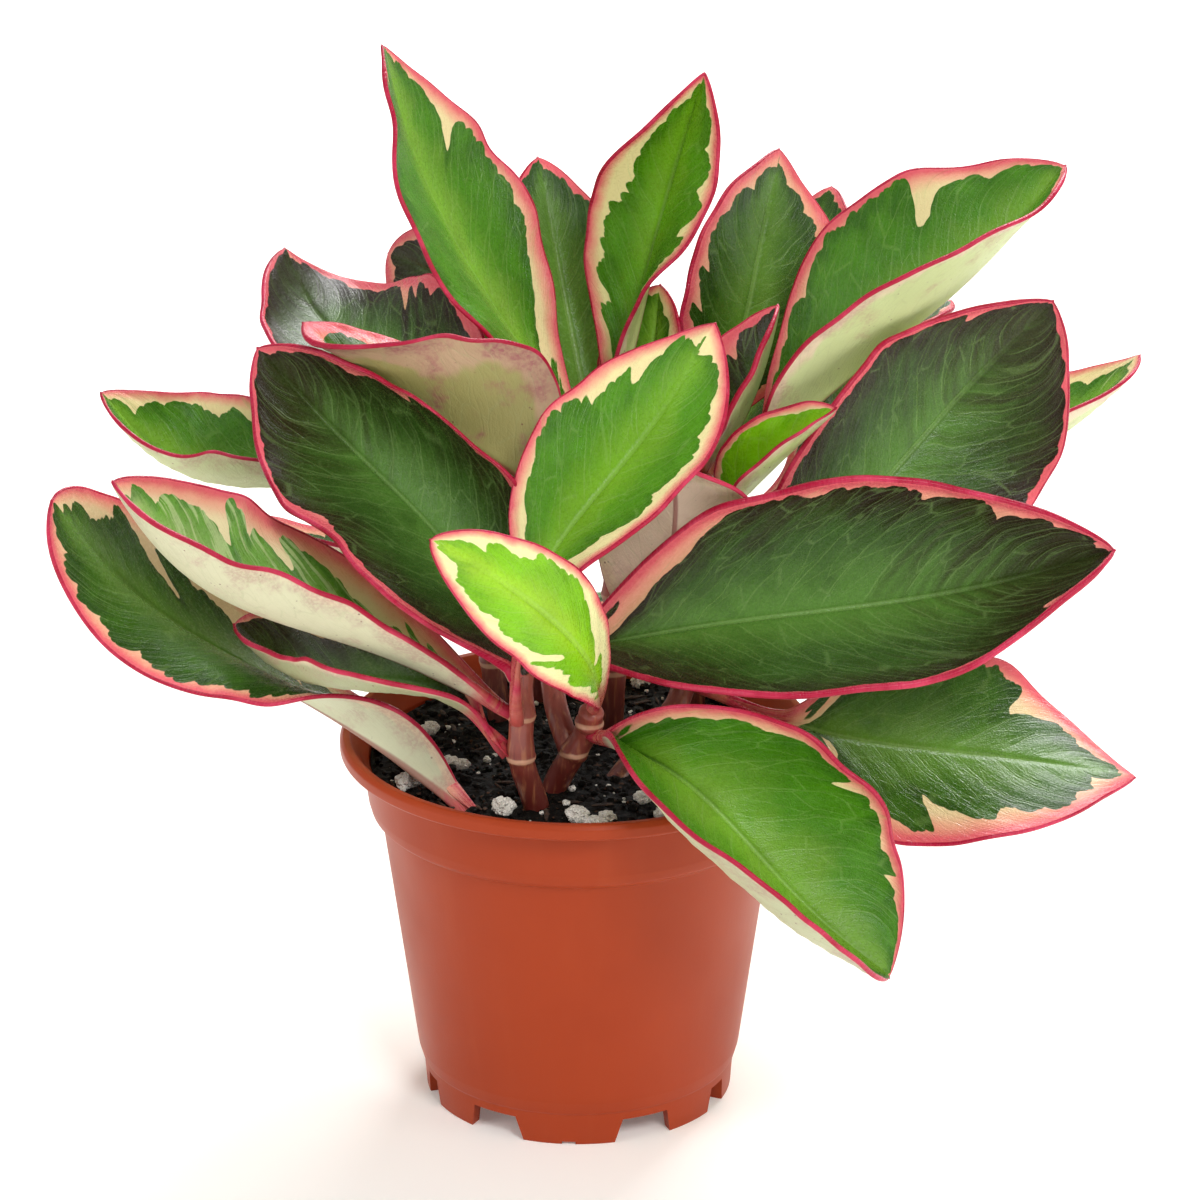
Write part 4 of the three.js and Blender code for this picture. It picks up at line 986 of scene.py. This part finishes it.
def make_stem(name, settings, draw):
    """A fleshy stem with a swelling and a papery ring at each node."""
    stem = STEMS[name]
    rows = 16 * (len(stem["points"]) - 1)
    t = np.linspace(0, 1, rows + 1)
    turn = np.linspace(0, 2 * np.pi, settings.sides + 1)
    rings = []
    for place in t:
        centre = curve_point(stem["points"], place)
        tangent = curve_direction(stem["points"], place)
        across = unit_rows(np.cross([0, 1, 0], tangent))
        ahead = np.cross(tangent, across)
        radius = stem_radius(name, place, centre[2]) * 0.5 + stem["radius"] * (1 - STEM_TAPER * place) * 0.5
        for scar in stem["scars"]:
            gap = centre[2] - scar
            swelling = math.exp(-(gap / 0.7) ** 2) + 0.6 * math.exp(-(gap / 2.6) ** 2)
            radius += settings.scar_rise / MM * swelling
            radius -= 0.12 * math.exp(-((gap + 1.3) / 0.6) ** 2)
        wobble = [1 + 0.03 * noise.noise(Vector((2 * math.cos(a), 2 * math.sin(a), centre[2] * 0.15)))
                  for a in turn]
        wobble[-1] = wobble[0]
        ring = centre + (across * np.cos(turn)[:, None] + ahead * np.sin(turn)[:, None]) \
            * (radius * np.array(wobble))[:, None]
        rings.append(ring)
    first, last = rings[0], rings[-1]
    tangent = curve_direction(stem["points"], 1)
    for share, rise in ((0.85, 0.7), (0.5, 1.2)):
        rings.append(last.mean(axis=0) + (last - last.mean(axis=0)) * share + tangent * rise)
    rings.append(np.broadcast_to(last[:-1].mean(axis=0) + tangent * 1.3, last.shape))
    rings.insert(0, np.broadcast_to(first[:-1].mean(axis=0), first.shape))
    piece, _, _ = closed_skin(name + "_stem", np.array(rings))
    join_seam(piece)
    finish_piece(piece, STEM_NODES.get(name, "stem_" + name), stem_finish(name, settings, draw))


def stem_finish(name, settings, draw):
    """Reddish-brown skin, darker towards the soil, with pale papery rings at the nodes."""
    seed = round(draw.uniform(0, 90), 2)
    sheet = NodeSheet(name + "_stem_finish")
    place = sheet.object_place()
    x, y, z = sheet.split(place)
    low = sheet.joined(sheet.times(x, 900), sheet.times(y, 900), sheet.add(sheet.times(z, 110), seed))
    streaks = sheet.noise(low, 1.0, 3, 0.6)
    mottle = sheet.noise(place, 320.0, 3, 0.6)
    height = sheet.add(sheet.times(z, 1 / MM), sheet.times(sheet.less(mottle, 0.5), 8.0))
    colour = sheet.blend(sheet.fade(height, 79, 112), tuple(settings.old), tuple(settings.young))
    colour = sheet.blend(sheet.times(sheet.fade(streaks, 0.5, 0.7), 0.35), colour, tint("C98A5C"))
    colour = sheet.blend(sheet.times(sheet.fade(streaks, 0.45, 0.25), 0.5), colour, tint("5E1D1A"))
    for scar in STEMS[name]["scars"]:
        gap = sheet.math("ABSOLUTE", sheet.less(sheet.add(sheet.times(z, 1 / MM),
                                                          sheet.times(sheet.less(mottle, 0.5), 0.7)), scar))
        colour = sheet.blend(sheet.times(sheet.fade(gap, 0.75, 0.3), 0.75), colour, tuple(settings.scar))
    relief = sheet.add(sheet.times(streaks, 0.6), sheet.times(sheet.noise(place, 1400.0, 2), 0.3))
    normal = sheet.bump(relief, 0.0003, 0.5)
    rough = sheet.fade(mottle, 0.3, 0.7, 0.3, 0.48)
    return sheet.finish(colour, rough, normal, coat=0.1, coat_rough=0.25)


def spun_profile(name, profile, steps):
    """Extrudes one point along a profile in millimetres and spins it round the pot's axis."""
    clear_selection()
    first = (profile[0][0] * MM, 0, profile[0][1] * MM)
    bpy.ops.mesh.primitive_plane_add(size=2 * MM, location=(0, 0, 0))
    piece = bpy.context.active_object
    piece.name = name
    piece.data.name = name
    bpy.ops.object.mode_set(mode="EDIT")
    bpy.ops.mesh.select_all(action="SELECT")
    bpy.ops.mesh.merge(type="CENTER")
    bpy.ops.transform.translate(value=first)
    for (radius, height), (next_radius, next_height) in zip(profile, profile[1:]):
        step = ((next_radius - radius) * MM, 0, (next_height - height) * MM)
        bpy.ops.mesh.extrude_region_move(TRANSFORM_OT_translate={"value": step})
    bpy.ops.mesh.select_all(action="SELECT")
    bpy.ops.mesh.spin(steps=steps, angle=2 * math.pi, axis=(0, 0, 1), center=(0, 0, 0))
    bpy.ops.mesh.select_all(action="SELECT")
    bpy.ops.mesh.remove_doubles(threshold=2e-6)
    bpy.ops.mesh.normals_make_consistent(inside=False)
    bpy.ops.object.mode_set(mode="OBJECT")
    return piece


def rounded(profile, radius, steps=3):
    """Replaces the inner corners of a profile by small arcs."""
    points = [np.array(point, float) for point in profile]
    result = [tuple(points[0])]
    for before, corner, after in zip(points, points[1:], points[2:]):
        back, ahead = before - corner, after - corner
        reach = min(radius, 0.45 * np.linalg.norm(back), 0.45 * np.linalg.norm(ahead))
        start = corner + unit_rows(back) * reach
        end = corner + unit_rows(ahead) * reach
        for i in range(steps + 1):
            share = i / steps
            bow = (1 - share) ** 2 * start + 2 * share * (1 - share) * corner + share ** 2 * end
            result.append(tuple(bow))
    result.append(tuple(points[-1]))
    return result


def inner_radius(height):
    up = (height - BODY_BOTTOM) / (BAND_BOTTOM - BODY_BOTTOM)
    return BODY_BOTTOM_RADIUS + (BODY_TOP_RADIUS - BODY_BOTTOM_RADIUS) * up - WALL


def make_pot(settings):
    """The pot is spun from its wall's section; the gaps between its feet and its drain holes are cut out."""
    outside = [
        (0, FLOOR_UNDERSIDE),
        (FOOT_RADIUS - FOOT_WALL, FLOOR_UNDERSIDE),
        (FOOT_RADIUS - FOOT_WALL_BOTTOM, 0),
        (FOOT_RADIUS, 0),
        (FOOT_RADIUS + FOOT_SHOULDER, FLOOR_UNDERSIDE),
        (FOOT_RADIUS + FOOT_SHOULDER_OUT, FLOOR_UNDERSIDE + FOOT_SHOULDER_RISE),
        (BODY_BOTTOM_RADIUS, BODY_BOTTOM),
        (BODY_TOP_RADIUS, BAND_BOTTOM - LEDGE_DROP),
        (BODY_TOP_RADIUS + BAND_LEDGE, BAND_BOTTOM - LEDGE_TUCK),
        (BAND_BOTTOM_RADIUS - BAND_ROUND, BAND_BOTTOM + LEDGE_DROP),
        (BAND_BOTTOM_RADIUS, BAND_BOTTOM + BAND_STEP),
        (BAND_TOP_RADIUS, RIM_LIP_BOTTOM - LIP_DROP),
        (BAND_TOP_RADIUS + LIP_OUT, RIM_LIP_BOTTOM - LIP_TUCK),
        (RIM_RADIUS - LIP_ROUND, RIM_LIP_BOTTOM),
        (RIM_RADIUS, RIM_LIP_BOTTOM + LIP_ROUND),
        (RIM_RADIUS, POT_HEIGHT - RIM_SIDE_DROP),
        (RIM_RADIUS - RIM_ROUND, POT_HEIGHT),
        (RIM_MOUTH_RADIUS, POT_HEIGHT),
        (RIM_MOUTH_RADIUS - RIM_THROAT, POT_HEIGHT - RIM_BEVEL),
        (BAND_TOP_RADIUS - WALL, RIM_LIP_BOTTOM - THROAT_DROP),
        (BAND_BOTTOM_RADIUS - WALL, BAND_BOTTOM + BAND_STEP),
        (inner_radius(BAND_BOTTOM - BAND_LEDGE), BAND_BOTTOM - BAND_LEDGE),
        (inner_radius(FLOOR_TOP), FLOOR_TOP),
        (0, FLOOR_TOP),
    ]
    pot = spun_profile("nursery_pot", rounded(outside, settings.edge_round / MM), settings.turns)
    cutters = []
    for i, (at, low, high) in enumerate(FEET):
        next_at, next_low, next_high = FEET[(i + 1) % len(FEET)]
        span = (next_at - at) % 360
        cutters.append(foot_gap(at + span / 2 + FEET_TURN, span / 2, (low, high), (next_low, next_high)))
    for i in range(DRAIN_HOLES):
        angle = 2 * math.pi * i / DRAIN_HOLES
        clear_selection()
        bpy.ops.mesh.primitive_cylinder_add(
            vertices=32, radius=DRAIN_HOLE_RADIUS * MM, depth=6 * MM,
            location=(DRAIN_CIRCLE * math.cos(angle) * MM, DRAIN_CIRCLE * math.sin(angle) * MM,
                      (FLOOR_UNDERSIDE + FLOOR_TOP) / 2 * MM))
        cutters.append(bpy.context.active_object)
    clear_selection()
    bpy.ops.mesh.primitive_cube_add(size=1, location=(0, -FOOT_RADIUS * MM, 0))
    notch = bpy.context.active_object
    notch.scale = tuple(size * MM for size in MOULD_NOTCH)
    bpy.ops.object.transform_apply(location=True, rotation=True, scale=True)
    notch.rotation_euler[2] = math.radians(FEET_TURN)
    cutters.append(notch)
    cut_out(pot, cutters)
    clear_selection()
    pot.select_set(True)
    bpy.context.view_layer.objects.active = pot
    bpy.ops.object.shade_smooth_by_angle(angle=math.radians(38))
    finish_piece(pot, "pot", pot_finish(settings))


def foot_gap(middle, half_span, left, right):
    """A block between two feet, narrower at its top where the feet are wider."""
    reach = [FOOT_RADIUS * math.tan(math.radians(half_span - half)) for half in (*left, *right)]
    clear_selection()
    bpy.ops.mesh.primitive_cube_add(size=2, location=(0, 0, 0))
    block = bpy.context.active_object
    for corner in block.data.vertices:
        x, y, z = corner.co
        low_reach, high_reach = (reach[0], reach[1]) if x < 0 else (reach[2], reach[3])
        wide = (high_reach if z > 0 else low_reach) * (1 if x > 0 else -1)
        corner.co = (wide * MM, -(FOOT_RADIUS - FOOT_GAP_INSET if y > 0 else FOOT_RADIUS + FOOT_GAP_OUT) * MM,
                     (FOOT_HEIGHT if z > 0 else -1) * MM)
    # The block was drawn facing -Y, and it turns to its own direction.
    block.rotation_euler[2] = math.radians(middle)
    return block


def cut_out(piece, cutters):
    clear_selection()
    for cutter in cutters:
        cutter.select_set(True)
    bpy.context.view_layer.objects.active = cutters[0]
    bpy.ops.object.transform_apply(location=True, rotation=True, scale=True)
    bpy.ops.object.join()
    cutter = bpy.context.active_object
    clear_selection()
    piece.select_set(True)
    bpy.context.view_layer.objects.active = piece
    tool = piece.modifiers.new("cut", "BOOLEAN")
    tool.operation = "DIFFERENCE"
    tool.solver = "EXACT"
    tool.object = cutter
    bpy.ops.object.modifier_apply(modifier=tool.name)
    bpy.data.objects.remove(cutter)


def pot_finish(settings):
    """Thermoformed plastic: a soft gloss, faint flow marks, a little dust and rubbed places."""
    sheet = NodeSheet("terracotta_plastic")
    place = sheet.object_place()
    x, y, z = sheet.split(place)
    drawn = sheet.joined(sheet.times(x, 120), sheet.times(y, 120), sheet.times(z, 14))
    drawn = sheet.noise(drawn, 1.0, 3, 0.55)
    cloud = sheet.noise(place, 26.0, 3, 0.55)
    dust = sheet.noise(place, 900.0, 3, 0.7)
    darker = sheet.times(sheet.fade(cloud, 0.4, 0.7), 0.35)
    colour = sheet.blend(darker, tuple(settings.colour), tint("963414"))
    colour = sheet.blend(sheet.times(sheet.fade(drawn, 0.5, 0.8), 0.25), colour, tuple(settings.worn))
    rubbed = sheet.times(sheet.fade(dust, 0.66, 0.8), sheet.fade(cloud, 0.45, 0.65), 0.4)
    colour = sheet.blend(rubbed, colour, tuple(settings.worn))
    relief = sheet.add(sheet.times(drawn, 0.7), sheet.times(sheet.noise(place, 2200.0, 2), 0.25))
    normal = sheet.bump(relief, 0.0002, 0.35)
    rough = sheet.fade(cloud, 0.3, 0.7, 0.36, 0.46)
    return sheet.finish(colour, rough, normal, specular=0.2)


def rough_height(x, y, size):
    """The rise of the crumbly soil at a place, in millimetres."""
    broad = noise.noise(Vector((x * 0.09, y * 0.09, 1.7)))
    lumps = noise.noise(Vector((x * 0.33, y * 0.33, 5.1)))
    crumbs = noise.noise(Vector((x * 0.9, y * 0.9, 9.3)))
    grit = noise.noise(Vector((x * 2.1, y * 2.1, 2.9)))
    return size * (0.7 * broad + 0.6 * abs(lumps) + 0.55 * abs(crumbs) + 0.25 * grit)


def make_soil(settings):
    """The body of the soil, with its surface broken up into lumps and crumbs."""
    wall = CLEARANCE + SOIL_WALL_GAP
    profile = [(0, FLOOR_TOP + CLEARANCE), (inner_radius(FLOOR_TOP) - wall, FLOOR_TOP + CLEARANCE),
               (inner_radius(BAND_BOTTOM - BAND_LEDGE) - wall, BAND_BOTTOM - BAND_LEDGE),
               (BAND_BOTTOM_RADIUS - WALL - wall, BAND_BOTTOM + SOIL_SHOULDER)]
    outer = BAND_TOP_RADIUS - WALL - wall
    for i in range(SOIL_RINGS + 1):
        radius = outer * (1 - i / SOIL_RINGS)
        crown = SOIL_CROWN * (1 - (radius / outer) ** 2)
        profile.append((radius, SOIL_LEVEL - SOIL_SINK + crown))
    soil = spun_profile("soil_body", profile, SOIL_STEPS)
    size = settings.roughness / MM
    for point in soil.data.vertices:
        x, y, z = (value / MM for value in point.co)
        if z > SOIL_LEVEL - 1:
            calm = min(1, (outer - math.hypot(x, y)) / 2 + 0.3)
            point.co.z += (rough_height(x, y, size) * calm - ROUGHNESS_SINK) * MM
    clear_selection()
    soil.select_set(True)
    bpy.context.view_layer.objects.active = soil
    bpy.ops.object.shade_smooth_by_angle(angle=math.radians(30))
    finish_piece(soil, "soil", soil_finish(settings, "peat_finish"))


def soil_finish(settings, name, light=0.0):
    """Dark moist peat with brown bark bits and pale specks."""
    sheet = NodeSheet(name)
    place = sheet.object_place()
    lumps = sheet.noise(place, 420.0, 4, 0.7)
    bits = sheet.cells(place, 620.0)
    which = sheet.noise(place, 260.0, 2)
    colour = sheet.blend(sheet.fade(lumps, 0.35, 0.7), tint("040302"), tuple(settings.peat))
    brown = sheet.times(sheet.fade(bits, 0.32, 0.12), sheet.fade(which, 0.52 - light, 0.62 - light))
    colour = sheet.blend(brown, colour, tuple(settings.bark))
    specks = sheet.times(sheet.fade(sheet.cells(place, 900.0), 0.12, 0.06), sheet.fade(which, 0.62, 0.68))
    colour = sheet.blend(specks, colour, tint("B8AEA0"))
    relief = sheet.add(lumps, sheet.times(bits, -0.6))
    normal = sheet.bump(relief, 0.0008, 0.9)
    rough = sheet.fade(lumps, 0.3, 0.7, 0.62, 0.95)
    return sheet.finish(colour, rough, normal, specular=0.15)


def scattered(name, shape, spots, material):
    """Copies one modelled shape to many spots: place, turn, size in each direction."""
    corners = np.array([point.co for point in shape.data.vertices])
    faces = [tuple(face.vertices) for face in shape.data.polygons]
    points, polygons = [], []
    for place, turn, size in spots:
        first = len(points)
        cos, sin = math.cos(turn), math.sin(turn)
        scaled = corners * np.array(size)
        for x, y, z in scaled:
            points.append(((place[0] + x * cos - y * sin) * MM, (place[1] + x * sin + y * cos) * MM,
                           (place[2] + z) * MM))
        polygons.extend(tuple(first + i for i in face) for face in faces)
    bpy.data.objects.remove(shape)
    mesh = bpy.data.meshes.new(name)
    mesh.from_pydata(points, [], polygons)
    piece = bpy.data.objects.new(name, mesh)
    bpy.context.scene.collection.objects.link(piece)
    finish_piece(piece, None, material)
    return piece


def rough_ball(name, subdivisions, bumps):
    """A ball of radius 1 with an uneven surface, to be copied."""
    clear_selection()
    bpy.ops.mesh.primitive_ico_sphere_add(subdivisions=subdivisions, radius=1)
    ball = bpy.context.active_object
    ball.name = name
    for point in ball.data.vertices:
        place = point.co.copy()
        rise = sum(size * noise.noise(place * scale) for scale, size in bumps)
        point.co = place * (1 + rise)
    return ball


def soil_top(x, y, size):
    """The height that loose bits lie at."""
    return SOIL_LEVEL - CRUMB_SINK + rough_height(x, y, size)


def free_spot(draw, reach, clear):
    """A place on the soil's surface that no stem or large grain stands on."""
    stems = [(stem["points"][1][0], stem["points"][1][1]) for stem in STEMS.values()]
    while True:
        radius = reach * math.sqrt(draw.random())
        angle = draw.uniform(0, 2 * math.pi)
        x, y = radius * math.cos(angle), radius * math.sin(angle)
        near_stem = min(math.hypot(x - a, y - b) for a, b in stems)
        near_grain = min(math.hypot(x - a, y - b) - r for a, b, r in GRAINS)
        if near_stem > 3 + clear and near_grain > clear:
            return x, y


def make_soil_bits(settings, draw):
    """Loose crumbs, bark bits, perlite grains and small chips on the soil."""
    size = settings.roughness / MM
    spots = []
    for _ in range(settings.crumbs):
        x, y = free_spot(draw, 44.5, 0.3)
        grain = 0.35 + 0.9 * draw.random() ** 2.2
        long = draw.uniform(0.8, 1.5)
        spots.append(((x, y, soil_top(x, y, size) + 0.3 * grain), draw.uniform(0, 6.3),
                      (grain * long, grain, grain * draw.uniform(0.6, 0.9))))
    scattered("soil_crumbs", rough_ball("crumb", 2, ((1.3, 0.35), (3.1, 0.2))), spots,
              soil_finish(settings, "crumb_finish", 0.12))
    spots = []
    for _ in range(settings.crumbs // 9):
        x, y = free_spot(draw, 43, 0.6)
        long = draw.uniform(1.2, 3.4)
        spots.append(((x, y, soil_top(x, y, size) + 0.35), draw.uniform(0, 6.3),
                      (long, draw.uniform(0.25, 0.6), draw.uniform(0.2, 0.4))))
    scattered("bark_bits", rough_ball("bark", 2, ((1.0, 0.2), (2.4, 0.2))), spots, bark_finish(settings))
    spots = []
    for _ in range(settings.chips):
        x, y = free_spot(draw, 44, 0.4)
        grain = 0.25 + 0.7 * draw.random() ** 2.5
        spots.append(((x, y, soil_top(x, y, size) + 0.5 * grain), draw.uniform(0, 6.3),
                      (grain * draw.uniform(0.9, 1.4), grain, grain * draw.uniform(0.7, 1))))
    scattered("perlite_chips", rough_ball("chip", 2, ((1.6, 0.3), (3.5, 0.2))), spots,
              perlite_finish(settings, "chip_finish"))
    spots = []
    for x, y, radius in GRAINS:
        spots.append(((x, y, SOIL_LEVEL + 0.45 * radius), draw.uniform(0, 6.3),
                      (radius * draw.uniform(0.98, 1.1), radius, radius * 0.82)))
    grain = rough_ball("grain", 5, ((1.2, 0.3), (2.8, 0.22), (6.5, 0.1), (14.0, 0.05)))
    scattered("perlite_grains", grain, spots, perlite_finish(settings, "perlite_finish"))


def bark_finish(settings):
    """Brown fibrous bits of bark."""
    sheet = NodeSheet("bark_finish")
    place = sheet.object_place()
    fibres = sheet.noise(place, 900.0, 4, 0.7)
    colour = sheet.blend(sheet.fade(fibres, 0.3, 0.7), tint("1E130C"), tuple(settings.bark))
    return sheet.finish(colour, 0.85, sheet.bump(fibres, 0.0005, 0.8))


def perlite_finish(settings, name):
    """Chalky white grains with grey pores and a little soil on them."""
    sheet = NodeSheet(name)
    place = sheet.object_place()
    pores = sheet.cells(place, 2100.0)
    clouds = sheet.noise(place, 480.0, 4, 0.7)
    colour = sheet.blend(sheet.fade(clouds, 0.35, 0.65), tint("DDD8CE"), tuple(settings.perlite))
    colour = sheet.blend(sheet.times(sheet.fade(pores, 0.24, 0.08), 0.45), colour, tint("6C655C"))
    colour = sheet.blend(sheet.times(sheet.fade(clouds, 0.36, 0.26), 0.9), colour, tint("2E241D"))
    relief = sheet.add(sheet.times(pores, 1.0), sheet.times(clouds, 0.6))
    return sheet.finish(colour, 0.9, sheet.bump(relief, 0.0006, 0.9))


# Where the photograph was taken from: the point looked at, and the camera's distance and height angle.
AIM = (4.8, 0, 115.4)
CAMERA_DISTANCE = 1194.0
CAMERA_RISE = 21.6
FOCAL_PIXELS = 5473.0
FRAME_PIXELS = 1200.0
SENSOR_MM = 36.0


def make_camera():
    rise = math.radians(CAMERA_RISE)
    aim = Vector(AIM) * MM
    place = aim + Vector((0, -math.cos(rise), math.sin(rise))) * CAMERA_DISTANCE * MM
    data = bpy.data.cameras.new("studio_camera")
    data.sensor_width = SENSOR_MM
    data.lens = FOCAL_PIXELS * SENSOR_MM / FRAME_PIXELS
    data.clip_start = 0.05
    camera = bpy.data.objects.new("studio_camera", data)
    camera.location = place
    camera.rotation_euler = (aim - place).to_track_quat("-Z", "Y").to_euler()
    bpy.context.scene.collection.objects.link(camera)
    bpy.context.scene.camera = camera


def make_light(name, place, size, power, colour=(1, 1, 1)):
    """A soft square light that shines at the plant's middle."""
    data = bpy.data.lights.new(name, "AREA")
    data.energy = power
    data.size = size
    data.color = colour
    light = bpy.data.objects.new(name, data)
    light.location = place
    light.rotation_euler = (Vector(AIM) * MM - Vector(place)).to_track_quat("-Z", "Y").to_euler()
    bpy.context.scene.collection.objects.link(light)


def make_stage(settings):
    """A pale floor with a painted glow of its own, a bright room and five soft lights."""
    clear_selection()
    bpy.ops.mesh.primitive_grid_add(x_subdivisions=8, y_subdivisions=8, size=8, location=(0, 0, 0))
    floor = bpy.context.active_object
    floor.name = "studio_floor"
    sheet = NodeSheet("floor_finish")
    cloud = sheet.noise(sheet.object_place(), 3.0, 2)
    colour = sheet.blend(sheet.fade(cloud, 0.4, 0.6), tuple(settings.floor), tint("FBFAF6"))
    floor.data.materials.append(sheet.finish(colour, 0.9, None, specular=0.1))
    # Painted light: the floor glows by itself, which lifts its shade and the shadows on it, and it glows less
    # near the pot.
    sheet.shader.inputs["Emission Color"].default_value = tuple(settings.floor) + (1,)
    x, y, _ = sheet.split(sheet.object_place())
    away = sheet.math("SQRT", sheet.add(sheet.times(x, x), sheet.times(y, y)))
    sheet.put(sheet.shader.inputs["Emission Strength"],
              sheet.fade(away, 0.03, 0.4, settings.glow * 0.55, settings.glow))
    world = bpy.data.worlds.new("studio_room")
    bpy.context.scene.world = world
    world.use_nodes = True
    room = world.node_tree.nodes["Background"]
    room.inputs["Color"].default_value = (1.0, 0.995, 0.985, 1)
    room.inputs["Strength"].default_value = settings.sky
    make_light("key_light", (0.55, -1.25, 1.25), 0.55, settings.key)
    make_light("side_light", (-1.3, -0.7, 0.7), 0.9, settings.side)
    make_light("top_light", (-0.1, 0.5, 1.5), 0.8, settings.top)
    make_light("rear_light", (0.42, 1.1, 1.1), 0.75, settings.rear)
    make_light("right_light", (1.25, -0.5, 0.5), 0.5, settings.right)
    bpy.context.scene.view_settings.view_transform = "Standard"


class PLANT_OT_pot(Operator):
    """Spins the nursery pot and cuts its feet and drain holes"""
    bl_idname = "plant.pot"
    bl_label = "Nursery pot"

    def execute(self, context):
        make_pot(context.scene.plant_pot)
        return {"FINISHED"}


class PLANT_OT_soil(Operator):
    """Makes the soil's crumbly body, its crumbs and its perlite"""
    bl_idname = "plant.soil"
    bl_label = "Soil and perlite"

    def execute(self, context):
        make_soil(context.scene.plant_soil)
        make_soil_bits(context.scene.plant_soil, random.Random(11))
        return {"FINISHED"}


class PLANT_OT_stems(Operator):
    """Makes the fleshy stems with their ring scars"""
    bl_idname = "plant.stems"
    bl_label = "Stems"

    def execute(self, context):
        draw = random.Random(23)
        for name in STEMS:
            make_stem(name, context.scene.plant_stems, draw)
        return {"FINISHED"}


class PLANT_OT_leaves(Operator):
    """Makes every leaf with its petiole, margin, veins and markings"""
    bl_idname = "plant.leaves"
    bl_label = "Leaves"

    def execute(self, context):
        for number, leaf in enumerate(LEAVES):
            make_leaf(leaf, LOOKS[leaf["name"]], context.scene.plant_leaves, random.Random(100 + number))
        return {"FINISHED"}


class PLANT_OT_stage(Operator):
    """Lays the pale floor and sets the camera and the studio lights"""
    bl_idname = "plant.stage"
    bl_label = "Stage, camera and lights"

    def execute(self, context):
        make_camera()
        make_stage(context.scene.plant_studio)
        return {"FINISHED"}


class PLANT_PT_panel(Panel):
    """Lists the steps that make the plant, and their settings"""
    bl_idname = "PLANT_PT_panel"
    bl_label = "Potted plant"
    bl_space_type = "VIEW_3D"
    bl_region_type = "UI"
    bl_category = "Plant"

    def draw(self, context):
        for operator, group in STEPS:
            box = self.layout.box()
            box.operator(operator.bl_idname)
            settings = getattr(context.scene, group)
            for name in settings.__annotations__:
                box.prop(settings, name)


STEPS = (
    (PLANT_OT_stage, "plant_studio"),
    (PLANT_OT_pot, "plant_pot"),
    (PLANT_OT_soil, "plant_soil"),
    (PLANT_OT_stems, "plant_stems"),
    (PLANT_OT_leaves, "plant_leaves"),
)
GROUPS = (
    ("plant_studio", StudioSettings),
    ("plant_pot", PotSettings),
    ("plant_soil", SoilSettings),
    ("plant_stems", StemSettings),
    ("plant_leaves", LeafSettings),
)


def register():
    for name, group in GROUPS:
        bpy.utils.register_class(group)
        setattr(bpy.types.Scene, name, PointerProperty(type=group))
    for operator, _ in STEPS:
        bpy.utils.register_class(operator)
    bpy.utils.register_class(PLANT_PT_panel)


def unregister():
    bpy.utils.unregister_class(PLANT_PT_panel)
    for operator, _ in STEPS:
        bpy.utils.unregister_class(operator)
    for name, group in GROUPS:
        delattr(bpy.types.Scene, name)
        bpy.utils.unregister_class(group)


def main():
    register()
    bpy.ops.plant.stage()
    bpy.ops.plant.pot()
    bpy.ops.plant.soil()
    bpy.ops.plant.stems()
    bpy.ops.plant.leaves()


if __name__ == "__main__":
    main()
